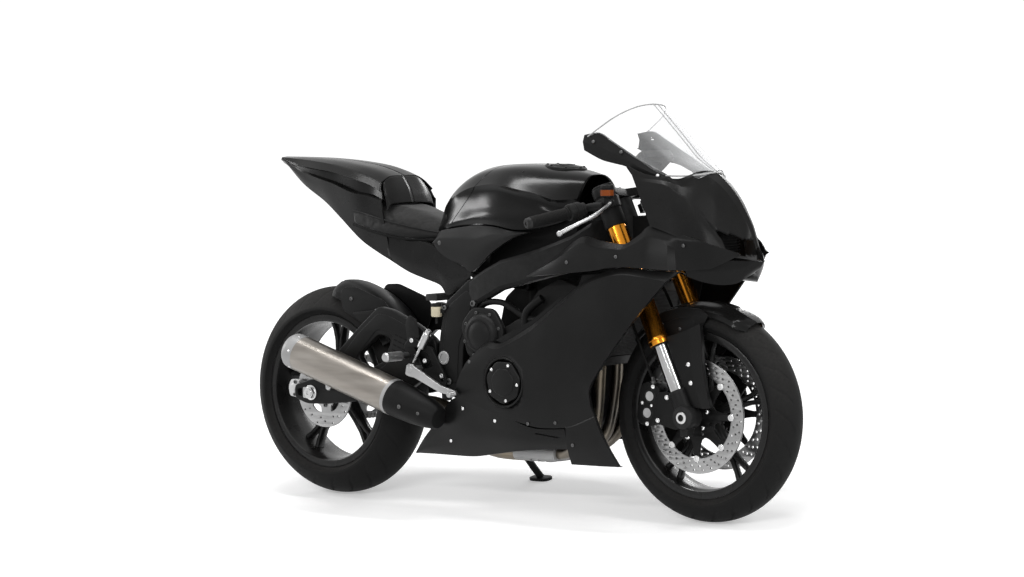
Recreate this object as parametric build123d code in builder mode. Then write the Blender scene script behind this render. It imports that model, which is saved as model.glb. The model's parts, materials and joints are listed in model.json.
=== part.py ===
from build123d import *
import os
from math import cos, sin, tan, radians, hypot

# A middleweight sport bike parked on its side stand, in millimetres.
# Every piece is drawn with the bike upright: x forward from the rear axle, y to the rider's left,
# z up from the floor. The finished pieces are then leaned onto the stand and moved to the origin.

# driving dimensions
wheelbase = 1375.0
rake_angle = 24.0
trail = 97.0
lean_angle = 10.0
slip = 0.1            # radial clearance of a shaft in its bore
axle_radius = 12.5
spacer_radius = 17.0

# tyres: radius, half width, how far the shoulder lies under the crown, half width at the rim
front_radius, front_half, front_drop, front_bead = 300.0, 60.0, 45.0, 44.5
rear_radius, rear_half, rear_drop, rear_bead = 315.0, 90.0, 62.0, 70.0
bead_seat = 219.0
flange_top = 232.0
rim_wall = 8.0
flange_wall = 5.0
spoke_count = 5
front_hub_half, rear_hub_half = 57.5, 77.5

# discs, calipers, chain
front_disc_outer, front_disc_inner, front_disc_y = 160.0, 118.0, 60.0
rear_disc_outer, rear_disc_inner, rear_disc_y = 110.0, 70.0, 80.0
disc_wall = 5.0
pad_gap = 5.5
chain_y = 104.0
sprocket_radius, drive_radius = 92.0, 36.0
sprocket_wall = 6.0
chain_height = 16.0
chain_plate = 3.0
chain_gap = 5.0       # from the sprocket's middle plane to a chain plate
drive_x, drive_z = 630.0, 335.0

# front fork, square to the steering axis
fork_half = 104.0
fork_offset = 33.4
outer_tube_radius = 27.0
inner_tube_radius = 21.5
stem_radius = 17.0
head_radius = 34.0
foot_top = 78.0
outer_tube_bottom = 215.0
lower_clamp = (440.0, 478.0)
upper_clamp = (660.0, 684.0)
fork_top = 692.0
axle_end = 134.0

# swingarm, frame and engine
arm_in, arm_out = 117.0, 141.0
spool_centre, spool_radius = (72.0, 0.0, 336.0), 4.0
plate_in, plate_out = 121.0, 150.0
engine_half = 150.0
panel_wall = 5.0

# silencer
can_y = 200.0
can_radius = 54.0
can_front = (394.0, 321.0)
can_rear = (-20.0, 451.0)

# side stand
stand_pivot = (520.0, 150.0, 205.0)
stand_foot = (562.0, 262.0)
stand_bar = 11.0
eye_half, pin_radius = 12.0, 6.0
foot_length, foot_width, foot_wall = 74.0, 46.0, 9.0


def centre_height(radius, half, drop):
    """Height of a wheel's centre so that the leaned tyre's round crown just meets the floor."""
    crown = (half ** 2 + drop ** 2) / (2 * drop)
    return radius + crown * (1 / cos(radians(lean_angle)) - 1)


front_centre = Vector(wheelbase, 0, centre_height(front_radius, front_half, front_drop))
rear_centre = Vector(0, 0, centre_height(rear_radius, rear_half, rear_drop))
fork_up = Vector(-sin(radians(rake_angle)), 0, cos(radians(rake_angle)))
fork_ahead = Vector(cos(radians(rake_angle)), 0, sin(radians(rake_angle)))
floor_up = Vector(0, -sin(radians(lean_angle)), cos(radians(lean_angle)))
across = Vector(0, 1, 0)

made = {}


def wheel_section(centre, turn=90.0):
    """Plane through a wheel's axle: x along the axle, y outward at turn degrees up from ahead."""
    return Plane(origin=centre, x_dir=(0, 1, 0), z_dir=(sin(radians(turn)), 0, -cos(radians(turn))))


def right_side(depth, origin=(0, 0), turn=0.0):
    """Upright plane facing right, depth to the right of the middle, x forward and y up."""
    ahead = (cos(radians(turn)), 0, sin(radians(turn)))
    return Plane(origin=(origin[0], -depth, origin[1]), x_dir=ahead, z_dir=(0, -1, 0))


def fork_plane(along):
    """Plane square to the fork, along above the axle: x ahead, y to the left."""
    return Plane(origin=front_centre + fork_up * along, x_dir=fork_ahead, z_dir=fork_up)


def slab(points, inner, outer, origin=(0, 0), turn=0.0):
    """Flat piece on the right with a side outline, from inner to outer off the middle."""
    with BuildPart() as piece:
        with BuildSketch(right_side(inner, origin, turn)):
            with BuildLine():
                Polyline(*points, close=True)
            make_face()
        extrude(amount=outer - inner)
    return piece.part


def joined(*shapes):
    """All solids of the shapes as one piece."""
    return Compound(children=[solid for shape in shapes for solid in shape.solids()])


def both(right):
    """A piece on the right and its twin on the left."""
    return joined(right, mirror(right, about=Plane.XZ))


def largest(part):
    """The main solid of a cut piece, without the slivers that the cut leaves."""
    return max(part.solids(), key=lambda solid: solid.volume)


def common(body, other):
    """What two bodies have in common."""
    return joined(body.intersect(other))


def section_loft(table, inset=0.0, lift=0.0, drop=0.0):
    """Straight-sided body through upright sections: each row is x, then (z, half width) from the
    top down. inset narrows it, lift raises its top and drop lowers its bottom."""
    with BuildPart() as body:
        for x, *edge in table:
            with BuildSketch(Plane(origin=(x, 0, 0), x_dir=(0, 1, 0), z_dir=(1, 0, 0))):
                last = len(edge) - 1
                right = []
                for place, (z, half) in enumerate(edge):
                    rise = lift if place == 0 else -drop if place == last else 0
                    right.append((max(half - inset, 1.0), z + rise))
                left = [(-half, z) for half, z in reversed(right)]
                with BuildLine():
                    Polyline(*right, *left, close=True)
                make_face()
        loft(ruled=True)
    return body.part


def keep(name, part):
    made[name] = part


# tyres and rims, one loop for both wheels
wheels = (
    # name, centre, radius, half width, shoulder drop, bead half width, hub half length, spoke half depth
    ("front", front_centre, front_radius, front_half, front_drop, front_bead, front_hub_half, 15.0),
    ("rear", rear_centre, rear_radius, rear_half, rear_drop, rear_bead, rear_hub_half, 22.0),
)
for name, centre, radius, half, drop, bead, hub_half, spoke_depth in wheels:
    axle_line = Axis(tuple(centre), (0, 1, 0))
    shoulder = radius - drop
    with BuildPart() as tyre:
        with BuildSketch(wheel_section(centre)):
            with BuildLine():
                ThreePointArc((-half, shoulder), (0, radius), (half, shoulder))
                Polyline((half, shoulder), (bead + 7, flange_top + 4), (bead, flange_top), (bead, bead_seat),
                         (-bead, bead_seat), (-bead, flange_top), (-bead - 7, flange_top + 4),
                         (-half, shoulder))
            make_face()
        revolve(axis=axle_line)
    keep(f"{name}_tyre", tyre.part)

    edge = bead + flange_wall
    with BuildPart() as rim:
        with BuildSketch(wheel_section(centre)):
            with BuildLine():
                Polyline((-edge, bead_seat - rim_wall), (edge, bead_seat - rim_wall), (edge, flange_top),
                         (bead, flange_top), (bead, bead_seat), (-bead, bead_seat), (-bead, flange_top),
                         (-edge, flange_top), close=True)
            make_face()
        revolve(axis=axle_line)
        with BuildSketch(right_side(-spoke_depth, (centre.X, centre.Z))):
            with PolarLocations(0, spoke_count, start_angle=18):
                with BuildLine():
                    Polyline((20, -19), (120, -11), (190, -13), (bead_seat - 4, -24),
                             (bead_seat - 4, 24), (190, 13), (120, 11), (20, 19), close=True)
                make_face()
        extrude(amount=2 * spoke_depth)
        with BuildSketch(right_side(-hub_half, (centre.X, centre.Z))):
            Circle(38)
        extrude(amount=2 * hub_half)
        with BuildSketch(right_side(-hub_half, (centre.X, centre.Z))):
            Circle(axle_radius + slip)
        extrude(amount=2 * hub_half, mode=Mode.SUBTRACT)
    keep(f"{name}_rim", rim.part)

# front discs on their carriers, and the rear disc and sprocket
carrier_arms = 8
with BuildPart() as front_disc:
    with BuildSketch(right_side(front_disc_y - disc_wall / 2, (front_centre.X, front_centre.Z))):
        Circle(front_disc_outer)
        Circle(front_disc_inner, mode=Mode.SUBTRACT)
        with PolarLocations((front_disc_outer + front_disc_inner) / 2, 2 * carrier_arms):
            Circle(5, mode=Mode.SUBTRACT)
    extrude(amount=disc_wall)
keep("front_brake_discs", both(front_disc.part))

with BuildPart() as carrier:
    with BuildSketch(right_side(front_hub_half, (front_centre.X, front_centre.Z))):
        Circle(62)
        with PolarLocations(0, carrier_arms):
            with BuildLine():
                Polyline((50, -13), (front_disc_inner + 2, -6), (front_disc_inner + 2, 6), (50, 13), close=True)
            make_face()
        Circle(24, mode=Mode.SUBTRACT)
        Circle(front_disc_inner, mode=Mode.INTERSECT)
    extrude(amount=5)
keep("front_disc_carriers", both(carrier.part))

with BuildPart() as rear_disc:
    with BuildSketch(right_side(rear_disc_y - disc_wall / 2, (rear_centre.X, rear_centre.Z))):
        Circle(rear_disc_outer)
        Circle(34, mode=Mode.SUBTRACT)
        with PolarLocations((rear_disc_outer + rear_disc_inner) / 2, 2 * carrier_arms):
            Circle(4.5, mode=Mode.SUBTRACT)
        with PolarLocations(52, 5):
            Circle(10, mode=Mode.SUBTRACT)
    extrude(amount=disc_wall)
keep("rear_brake_disc", rear_disc.part)

tooth_count = 43
with BuildPart() as sprocket:
    with BuildSketch(right_side(-chain_y - sprocket_wall / 2, (rear_centre.X, rear_centre.Z))):
        Circle(sprocket_radius)
        with PolarLocations(sprocket_radius, tooth_count):
            Rectangle(8, 5)
        with PolarLocations(66, 5):
            Circle(12, mode=Mode.SUBTRACT)
    extrude(amount=sprocket_wall)
    with BuildSketch(right_side(-chain_y + sprocket_wall / 2, (rear_centre.X, rear_centre.Z))):
        Circle(50)
    extrude(amount=chain_y - sprocket_wall / 2 - rear_hub_half)
    with BuildSketch(right_side(-chain_y - sprocket_wall / 2, (rear_centre.X, rear_centre.Z))):
        Circle(spacer_radius + 3)
    extrude(amount=chain_y, mode=Mode.SUBTRACT)
keep("rear_sprocket", sprocket.part)

# front axle: the shaft and a collar each side of the hub
collar_length = 17.0
with BuildPart() as front_axle:
    with BuildSketch(right_side(-axle_end, (front_centre.X, front_centre.Z))):
        Circle(axle_radius)
    extrude(amount=2 * axle_end)
    for start in (front_hub_half + 1.5, -front_hub_half - 1.5 - collar_length):
        with BuildSketch(right_side(start, (front_centre.X, front_centre.Z))):
            Circle(spacer_radius)
        extrude(amount=collar_length)
keep("front_axle", front_axle.part)

# fork: gold outer tubes above, bright inner tubes, black feet that hold the axle and calipers
with BuildPart() as outer_tubes:
    with BuildSketch(fork_plane(outer_tube_bottom)):
        with Locations((0, -fork_half), (0, fork_half)):
            Circle(outer_tube_radius)
    extrude(amount=fork_top - outer_tube_bottom)
    with BuildSketch(fork_plane(outer_tube_bottom)):
        with Locations((0, -fork_half), (0, fork_half)):
            Circle(outer_tube_radius + 3)
    extrude(amount=26)
keep("fork_outer_tubes", outer_tubes.part)

with BuildPart() as inner_tubes:
    with BuildSketch(fork_plane(foot_top)):
        with Locations((0, -fork_half), (0, fork_half)):
            Circle(inner_tube_radius)
    extrude(amount=outer_tube_bottom - foot_top)
keep("fork_inner_tubes", inner_tubes.part)

caliper_turn = 168.0
caliper_in, caliper_out = 38.0, 100.0
caliper_low, caliper_high, caliper_half = 108.0, 176.0, 62.0
foot_inner = fork_half - 27.0
with BuildPart() as foot:
    with BuildSketch(fork_plane(-34)):
        with Locations((0, -fork_half)):
            Circle(25)
    extrude(amount=foot_top + 34)
    with BuildSketch(right_side(foot_inner, (front_centre.X, front_centre.Z))):
        Circle(34)
    extrude(amount=52)
    with BuildSketch(right_side(foot_inner + 5, (front_centre.X, front_centre.Z), caliper_turn)):
        with BuildLine():
            Polyline((0, -26), (caliper_low, -44), (caliper_low, 40), (20, 50), close=True)
        make_face()
    extrude(amount=18)
    with BuildSketch(right_side(foot_inner, (front_centre.X, front_centre.Z))):
        Circle(axle_radius)
    extrude(amount=60, mode=Mode.SUBTRACT)
keep("fork_feet", both(foot.part))

with BuildPart() as caliper:
    with BuildSketch(right_side(caliper_in, (front_centre.X, front_centre.Z), caliper_turn)):
        with BuildLine():
            Polyline((caliper_low, -caliper_half + 8), (caliper_high - 14, -caliper_half),
                     (caliper_high, -caliper_half + 16), (caliper_high, caliper_half - 16),
                     (caliper_high - 14, caliper_half), (caliper_low, caliper_half - 8), close=True)
        make_face()
    extrude(amount=caliper_out - caliper_in)
    slot = front_disc_y - disc_wall / 2 - pad_gap
    with BuildSketch(right_side(slot, (front_centre.X, front_centre.Z))):
        Circle(front_disc_outer + pad_gap)
    extrude(amount=disc_wall + 2 * pad_gap, mode=Mode.SUBTRACT)
keep("front_calipers", both(caliper.part))

with BuildPart() as clamps:
    for (low, high), ring, arm in ((lower_clamp, 37.0, 30.0), (upper_clamp, 34.0, 22.0)):
        with BuildSketch(fork_plane(low)):
            with Locations((0, -fork_half), (0, fork_half)):
                Circle(ring)
            with Locations((-fork_offset, 0)):
                Circle(head_radius + 4)
            with BuildLine():
                Polyline((arm, -fork_half), (arm - 22, 0), (arm, fork_half), (-arm, fork_half),
                         (-fork_offset - 28, 0), (-arm, -fork_half), close=True)
            make_face()
        extrude(amount=high - low)
    with BuildSketch(fork_plane(lower_clamp[0])):
        with Locations((-fork_offset, 0)):
            Circle(stem_radius)
    extrude(amount=upper_clamp[1] - lower_clamp[0])
    with BuildSketch(fork_plane(lower_clamp[0])):
        with Locations((0, -fork_half), (0, fork_half)):
            Circle(outer_tube_radius)
    extrude(amount=upper_clamp[1] - lower_clamp[0], mode=Mode.SUBTRACT)
    with BuildSketch(fork_plane(lower_clamp[0])):
        with Locations((-fork_offset, 0)):
            Circle(9)
    extrude(amount=upper_clamp[1] - lower_clamp[0], mode=Mode.SUBTRACT)
keep("triple_clamps", clamps.part)

# clip-on bars: a ring round each tube and a bar swept back and down
bar_ring = (622.0, 654.0)
bar_root = Vector(1098, -112, 884)
bar_tip = Vector(1012, -342, 838)
bar_line = (bar_tip - bar_root).normalized()
bar_length = (bar_tip - bar_root).length
bar_radius = 11.0
grip_radius = 17.0
grip_length = 122.0
grip_end = bar_length - 14.0


def bar_plane(along):
    return Plane(origin=bar_root + bar_line * along, x_dir=(0, 0, 1), z_dir=bar_line)


with BuildPart() as bar:
    with BuildSketch(bar_plane(0)):
        Circle(bar_radius)
    extrude(amount=bar_length)
    with BuildSketch(bar_plane(grip_end)):
        Circle(grip_radius - 1)
    extrude(amount=bar_length - grip_end, taper=8)
    with BuildSketch(fork_plane(bar_ring[0])):
        with Locations((0, -fork_half)):
            Circle(outer_tube_radius + 8)
    extrude(amount=bar_ring[1] - bar_ring[0])
    with BuildSketch(fork_plane(bar_ring[0] - 30)):
        with Locations((0, -fork_half)):
            Circle(outer_tube_radius)
    extrude(amount=100, mode=Mode.SUBTRACT)
keep("clip_on_bars", both(bar.part))

with BuildPart() as grip:
    with BuildSketch(bar_plane(grip_end - grip_length)):
        Circle(grip_radius)
        Circle(bar_radius, mode=Mode.SUBTRACT)
    extrude(amount=grip_length)
keep("hand_grips", both(grip.part))

housing_length = 42.0
housing_start = grip_end - grip_length - housing_length
cup_centre = Vector(1146, -148, 906)
with BuildPart() as control:
    with BuildSketch(bar_plane(housing_start)):
        Circle(24)
        Circle(bar_radius, mode=Mode.SUBTRACT)
    extrude(amount=housing_length)
    with BuildSketch(Plane(origin=bar_root + bar_line * (housing_start - 14), x_dir=(0, 0, 1), z_dir=bar_line)):
        Circle(20)
        Circle(bar_radius, mode=Mode.SUBTRACT)
    extrude(amount=14)
    with BuildSketch(Plane(origin=bar_root + bar_line * (housing_start - 14) + Vector(18, 0, 4),
                           x_dir=(0, 0, 1), z_dir=(0.995, 0, 0.1))):
        Circle(12)
    extrude(amount=48)
    with BuildSketch(Plane(origin=cup_centre, x_dir=(1, 0, 0), z_dir=(0, 0, 1))):
        Circle(19)
    extrude(amount=34)
    with BuildSketch(Plane(origin=cup_centre - Vector(0, 0, 26), x_dir=(1, 0, 0), z_dir=(0, 0, 1))):
        Circle(11)
    extrude(amount=26)
keep("hand_controls", both(control.part))

lever_path = ((1158, -150, 890), (1174, -190, 880), (1166, -250, 852), (1124, -334, 812))
lever_radius = 6.0
with BuildPart() as lever:
    with BuildLine():
        lever_wire = FilletPolyline(*lever_path, radius=38)
    with BuildSketch(Plane(origin=lever_path[0], z_dir=lever_wire % 0)):
        Circle(lever_radius)
    sweep()
    with Locations(lever_path[-1]):
        Sphere(lever_radius + 2.5)
keep("hand_levers", both(lever.part - control.part))

# brake hoses from each caliper up behind the fork to the lower clamp
hose_radius = 4.0
hose_foot = Vector(1251, -88, 386)
hose_head = front_centre + fork_up * (lower_clamp[0] - 6) - fork_ahead * 45 - across * 60
hose_path = (tuple(hose_foot + Vector(-4, 0, 14)), (1238, -101, 446), (1214, -106, 508), (1186, -104, 570),
             (1168, -88, 628), tuple(hose_head))
hose_bends = []
for before, here, after in zip(hose_path, hose_path[1:], hose_path[2:]):
    first = Vector(*here) - Vector(*before)
    second = Vector(*after) - Vector(*here)
    turn = radians(first.get_angle(second))
    hose_bends.append(0.45 * min(first.length, second.length) / tan(turn / 2))
with BuildPart() as hose:
    with BuildLine():
        hose_wire = FilletPolyline(*hose_path, radius=hose_bends)
    with BuildSketch(Plane(origin=hose_path[0], z_dir=hose_wire % 0)):
        Circle(hose_radius)
    sweep()
    with BuildSketch(Plane(origin=hose_foot, x_dir=(0, 1, 0), z_dir=(-0.2, 0, 0.98))):
        Circle(8)
    extrude(amount=20)
    with BuildSketch(Plane(origin=hose_head - fork_up * 8, x_dir=(0, 1, 0), z_dir=fork_up)):
        Circle(8)
    extrude(amount=14)
keep("front_brake_hoses", both(hose.part - caliper.part - clamps.part))
print("brake hose bends", [round(bend) for bend in hose_bends], "length", round(hose_wire.length))

# front mudguard: an arc over the tyre with a side flap and a boss to each fork leg
guard_gap = 10.0
guard_wall = 3.5
guard_half = 68.0
guard_from, guard_to = 56.0, 138.0
with BuildPart() as mudguard:
    with BuildSketch(wheel_section(front_centre, guard_from)):
        top = front_radius + guard_gap
        rim_line = top - 30
        with BuildLine():
            ThreePointArc((-guard_half, rim_line), (0, top + guard_wall), (guard_half, rim_line))
            Line((guard_half, rim_line), (guard_half - guard_wall, rim_line))
            ThreePointArc((guard_half - guard_wall, rim_line), (0, top), (guard_wall - guard_half, rim_line))
            Line((guard_wall - guard_half, rim_line), (-guard_half, rim_line))
        make_face()
    revolve(axis=Axis(tuple(front_centre), (0, -1, 0)), revolution_arc=guard_to - guard_from)
flap_outline = ((1228, 560), (1300, 596), (1400, 592), (1440, 574), (1396, 548), (1392, 470), (1352, 418),
                (1284, 432))
flap = slab(flap_outline, guard_half - guard_wall, guard_half)
with BuildPart() as flap_boss:
    for along in (190.0, 156.0):
        lug = front_centre + fork_up * along
        with BuildSketch(right_side(guard_half, (lug.X, lug.Z))):
            Circle(9)
        extrude(amount=fork_half - guard_half)
    with BuildSketch(fork_plane(foot_top)):
        with Locations((0, -fork_half)):
            Circle(inner_tube_radius)
    extrude(amount=200, mode=Mode.SUBTRACT)
guard_side = flap + flap_boss.part
keep("front_mudguard", mudguard.part + guard_side + mirror(guard_side, about=Plane.XZ))

# steering head and the two frame spars
with BuildPart() as head:
    with BuildSketch(fork_plane(lower_clamp[1] + 2)):
        with Locations((-fork_offset, 0)):
            Circle(head_radius)
        with Locations((-fork_offset - 26, 0)):
            Rectangle(40, 70)
    extrude(amount=upper_clamp[0] - lower_clamp[1] - 4)
    with BuildSketch(fork_plane(lower_clamp[1])):
        with Locations((-fork_offset, 0)):
            Circle(stem_radius + slip)
    extrude(amount=upper_clamp[0] - lower_clamp[1], mode=Mode.SUBTRACT)

spar_sections = (
    # x, inner y, outer y, low z, high z
    (640, 121, 150, 585, 672),
    (760, 128, 160, 640, 728),
    (900, 128, 160, 672, 762),
    (1000, 96, 132, 695, 800),
    (1046, 62, 100, 712, 835),
    (1072, 16, 58, 722, 852),
)
spar_pieces = []
for here, beyond in zip(spar_sections, spar_sections[1:]):
    with BuildPart() as spar_piece:
        for x, inner, outer, low, high in (here, beyond):
            with BuildSketch(Plane(origin=(x, 0, 0), x_dir=(0, 1, 0), z_dir=(1, 0, 0))):
                with BuildLine():
                    Polyline((-inner, low), (-outer, low + 12), (-outer, high - 12), (-inner, high), close=True)
                make_face()
        loft(ruled=True)
    spar_pieces.append(spar_piece.part)
spar = spar_pieces[0].fuse(*spar_pieces[1:])
plate_outline = ((640, 672), (547, 600), (526, 520), (517, 462), (523, 404), (545, 345), (590, 338),
                 (612, 360), (606, 392), (612, 479), (652, 553), (672, 611), (668, 672))
pivot_plate = slab(plate_outline, plate_in, plate_out)
spar = (spar + pivot_plate) - head.part
keep("frame_spars", both(spar))
keep("steering_head", head.part)

# swingarm: two deep arms and the pivot block between them
arm_outline = ((-70, 298), (-70, 338), (-20, 352), (40, 366), (113, 446), (200, 522), (278, 583), (330, 574),
               (434, 530), (500, 488), (506, 410), (400, 345), (250, 304), (60, 284), (-20, 282))
arm_window = ((190, 430), (276, 500), (330, 490), (300, 420), (230, 390))
arm = slab(arm_outline, arm_in, arm_out) - slab(arm_window, arm_in, arm_out)
with BuildPart() as pivot_block:
    with BuildSketch(right_side(-arm_in, (0, 0))):
        with BuildLine():
            Polyline((470, 412), (470, 470), (500, 486), (560, 480), (574, 440), (560, 400), (506, 396),
                     close=True)
        make_face()
    extrude(amount=2 * arm_in)
    with BuildSketch(right_side(-arm_in, (0, 0))):
        with Locations((540, 440)):
            Circle(12)
    extrude(amount=2 * arm_in, mode=Mode.SUBTRACT)
axle_hole = Pos(rear_centre) * Rot(X=90) * Cylinder(axle_radius, 4 * arm_out)
spool_hole = Pos(*spool_centre) * Rot(X=90) * Cylinder(spool_radius, 4 * arm_out)
swingarm = arm + pivot_block.part + mirror(arm, about=Plane.XZ) - axle_hole - spool_hole
keep("swingarm", swingarm)

with BuildPart() as rear_axle:
    with BuildSketch(right_side(-arm_out - 16, (rear_centre.X, rear_centre.Z))):
        Circle(axle_radius)
    extrude(amount=2 * (arm_out + 16))
    for start, length in ((79.0, arm_in - 79.0), (-arm_in, arm_in - chain_y - sprocket_wall / 2 - 1)):
        with BuildSketch(right_side(start, (rear_centre.X, rear_centre.Z))):
            Circle(spacer_radius)
        extrude(amount=length)
    for start in (arm_out, -arm_out - 14):
        with BuildSketch(right_side(start, (rear_centre.X, rear_centre.Z))):
            RegularPolygon(19, 6)
        extrude(amount=14)
keep("rear_axle", rear_axle.part)

rear_caliper_turn = 176.0
with BuildPart() as rear_caliper:
    with BuildSketch(right_side(52, (rear_centre.X, rear_centre.Z), rear_caliper_turn)):
        with BuildLine():
            Polyline((82, -30), (122, -26), (128, 0), (122, 26), (82, 30), close=True)
        make_face()
    extrude(amount=56)
    rear_slot = rear_disc_y - disc_wall / 2 - pad_gap
    with BuildSketch(right_side(rear_slot, (rear_centre.X, rear_centre.Z))):
        Circle(rear_disc_outer + pad_gap)
    extrude(amount=disc_wall + 2 * pad_gap, mode=Mode.SUBTRACT)
    with BuildSketch(right_side(98, (rear_centre.X, rear_centre.Z), rear_caliper_turn)):
        with BuildLine():
            Polyline((40, -16), (90, -16), (90, 16), (40, 16), close=True)
        make_face()
    extrude(amount=arm_in - 98)
keep("rear_caliper", rear_caliper.part)

# chain: two plates round both sprockets, tied by pins along the straight runs
reach = hypot(drive_x - rear_centre.X, drive_z - rear_centre.Z)
chain_plates = []
for start in (-chain_y - chain_gap - chain_plate, -chain_y + chain_gap):
    with BuildPart() as band:
        for grow, mode in ((chain_height / 2, Mode.ADD), (-chain_height / 2, Mode.SUBTRACT)):
            with BuildSketch(right_side(start)):
                with Locations((rear_centre.X, rear_centre.Z)):
                    Circle(sprocket_radius + grow)
                with Locations((drive_x, drive_z)):
                    Circle(drive_radius + grow)
                with BuildLine():
                    Polyline((-7, rear_centre.Z + sprocket_radius + grow),
                             (drive_x, drive_z + drive_radius + grow),
                             (drive_x, drive_z - drive_radius - grow),
                             (9, rear_centre.Z - sprocket_radius - grow), close=True)
                make_face()
            extrude(amount=chain_plate, mode=mode)
    chain_plates.append(band.part)
pin_rows = []
pin_count = 14
for row in range(pin_count):
    share = 0.28 + 0.58 * row / (pin_count - 1)
    middle_x = rear_centre.X + share * (drive_x - rear_centre.X)
    half_gap = sprocket_radius + share * (drive_radius - sprocket_radius)
    middle_z = rear_centre.Z + share * (drive_z - rear_centre.Z)
    pin_rows.append((middle_x, middle_z + half_gap))
    pin_rows.append((middle_x, middle_z - half_gap))
with BuildPart() as pins:
    with BuildSketch(right_side(-chain_y - chain_gap)):
        with Locations(*pin_rows):
            Circle(5)
    extrude(amount=2 * chain_gap)
keep("drive_chain", chain_plates[0] + pins.part + chain_plates[1])

# rear mudguard on the swingarm, and the shock absorber behind the pivot
hugger_from, hugger_to = 30.0, 84.0
hugger_top = rear_radius + 20.0
hugger_half = 98.0
hugger_wall = 4.0
with BuildPart() as hugger:
    with BuildSketch(wheel_section(rear_centre, hugger_from)):
        with BuildLine():
            rim_line = hugger_top - 40
            inner_half = hugger_half - hugger_wall
            ThreePointArc((-hugger_half, rim_line), (0, hugger_top + hugger_wall), (hugger_half, rim_line))
            Line((hugger_half, rim_line), (inner_half, rim_line))
            ThreePointArc((inner_half, rim_line), (0, hugger_top), (-inner_half, rim_line))
            Line((-inner_half, rim_line), (-hugger_half, rim_line))
        make_face()
    revolve(axis=Axis(tuple(rear_centre), (0, -1, 0)), revolution_arc=hugger_to - hugger_from)
flank_outline = ((96, 560), (66, 640), (150, 640), (270, 600), (300, 560), (250, 480), (196, 510))
flank = slab(flank_outline, hugger_half - hugger_wall, arm_in)
keep("rear_hugger", hugger.part + flank + mirror(flank, about=Plane.XZ) - arm - mirror(arm, about=Plane.XZ))

with BuildPart() as shock:
    with BuildSketch(Plane(origin=(418, 0, 300), x_dir=(0, 1, 0), z_dir=(0.12, 0, 0.993))):
        Circle(19)
    extrude(amount=310)
    with BuildSketch(Plane(origin=(426, 0, 366), x_dir=(0, 1, 0), z_dir=(0.12, 0, 0.993))):
        Circle(31)
    extrude(amount=170)
    with BuildSketch(Plane(origin=(455, 0, 600), x_dir=(1, 0, 0), z_dir=(0, 0, 1))):
        Rectangle(46, 2 * 105)
    extrude(amount=22)
keep("rear_shock", shock.part)

# subframe rails from the frame to the tail
with BuildPart() as rail:
    with BuildLine():
        rail_wire = Polyline((642, -104, 640), (560, -84, 645), (470, -80, 668), (394, -78, 728))
    with BuildSketch(Plane(origin=(642, -104, 640), z_dir=rail_wire % 0)):
        Circle(12)
    sweep(transition=Transition.RIGHT)
with BuildPart() as rail_foot:
    with BuildSketch(right_side(100, (640, 640))):
        Circle(18)
    extrude(amount=plate_in - 100)
keep("subframe", both(rail.part + rail_foot.part))

# engine: one plain block, its pocket for the drive sprocket and the covers on its sides
engine_outline = ((584, 240), (584, 430), (640, 500), (780, 540), (868, 640), (950, 676), (1040, 640),
                  (986, 520), (976, 380), (958, 262), (900, 210), (640, 205))
crankcase_rear = 684.0
crankcase_outline = ((crankcase_rear, 205), (crankcase_rear, 500), (780, 540), (820, 562), (1006, 562),
                     (986, 520), (976, 380), (958, 262), (900, 210))
waist_half = 118.0
engine = slab(engine_outline, -waist_half, waist_half) + slab(crankcase_outline, -engine_half, engine_half)
pocket_outline = ((570, 262), (crankcase_rear, 262), (crankcase_rear, 408), (570, 408))
pocket = slab(pocket_outline, -engine_half, -chain_y + chain_gap + chain_plate + 4)
with BuildPart() as output_hub:
    with BuildSketch(right_side(-chain_y - 8, (drive_x, drive_z))):
        Circle(drive_radius - chain_height / 2 - 2)
    extrude(amount=30)
keep("engine_block", engine - pocket + output_hub.part)

pulse_centre, pulse_radius, pulse_out = (815.0, 384.0), 64.0, 221.0
clutch_centre, clutch_radius, clutch_out = (698.0, 512.0), 62.0, 186.0
stator_radius, stator_out = 66.0, 214.0
with BuildPart() as right_covers:
    with BuildSketch(right_side(engine_half, pulse_centre)):
        RegularPolygon(pulse_radius, 7)
    extrude(amount=pulse_out - engine_half)
    with BuildSketch(right_side(engine_half, clutch_centre)):
        Circle(clutch_radius)
    extrude(amount=clutch_out - engine_half)
with BuildPart() as left_covers:
    with BuildSketch(right_side(-stator_out, pulse_centre)):
        Circle(stator_radius)
    extrude(amount=stator_out - engine_half)
    with BuildSketch(right_side(-engine_half)):
        with BuildLine():
            Polyline((580, 262), (580, 330), (618, 334), (622, 400), (crankcase_rear, 410), (crankcase_rear, 262),
                     close=True)
        make_face()
    extrude(amount=engine_half - waist_half)
keep("engine_covers", joined(right_covers.part, left_covers.part))

# radiator: a middle panel and two angled side panels behind the fork
radiator_foot = Vector(1080, 0, 430)
radiator_up = Vector(0.13, 0, 0.99).normalized()
radiator_wall, radiator_height = 30.0, 232.0
with BuildPart() as radiator:
    with BuildSketch(Plane(origin=radiator_foot, x_dir=across.cross(radiator_up), z_dir=radiator_up)):
        with BuildLine():
            Polyline((0, -104), (52, -172), (52 - radiator_wall, -180), (-radiator_wall, -112),
                     (-radiator_wall, 112), (52 - radiator_wall, 180), (52, 172), (0, 104), close=True)
        make_face()
    extrude(amount=radiator_height)
keep("radiator", radiator.part)

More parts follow.
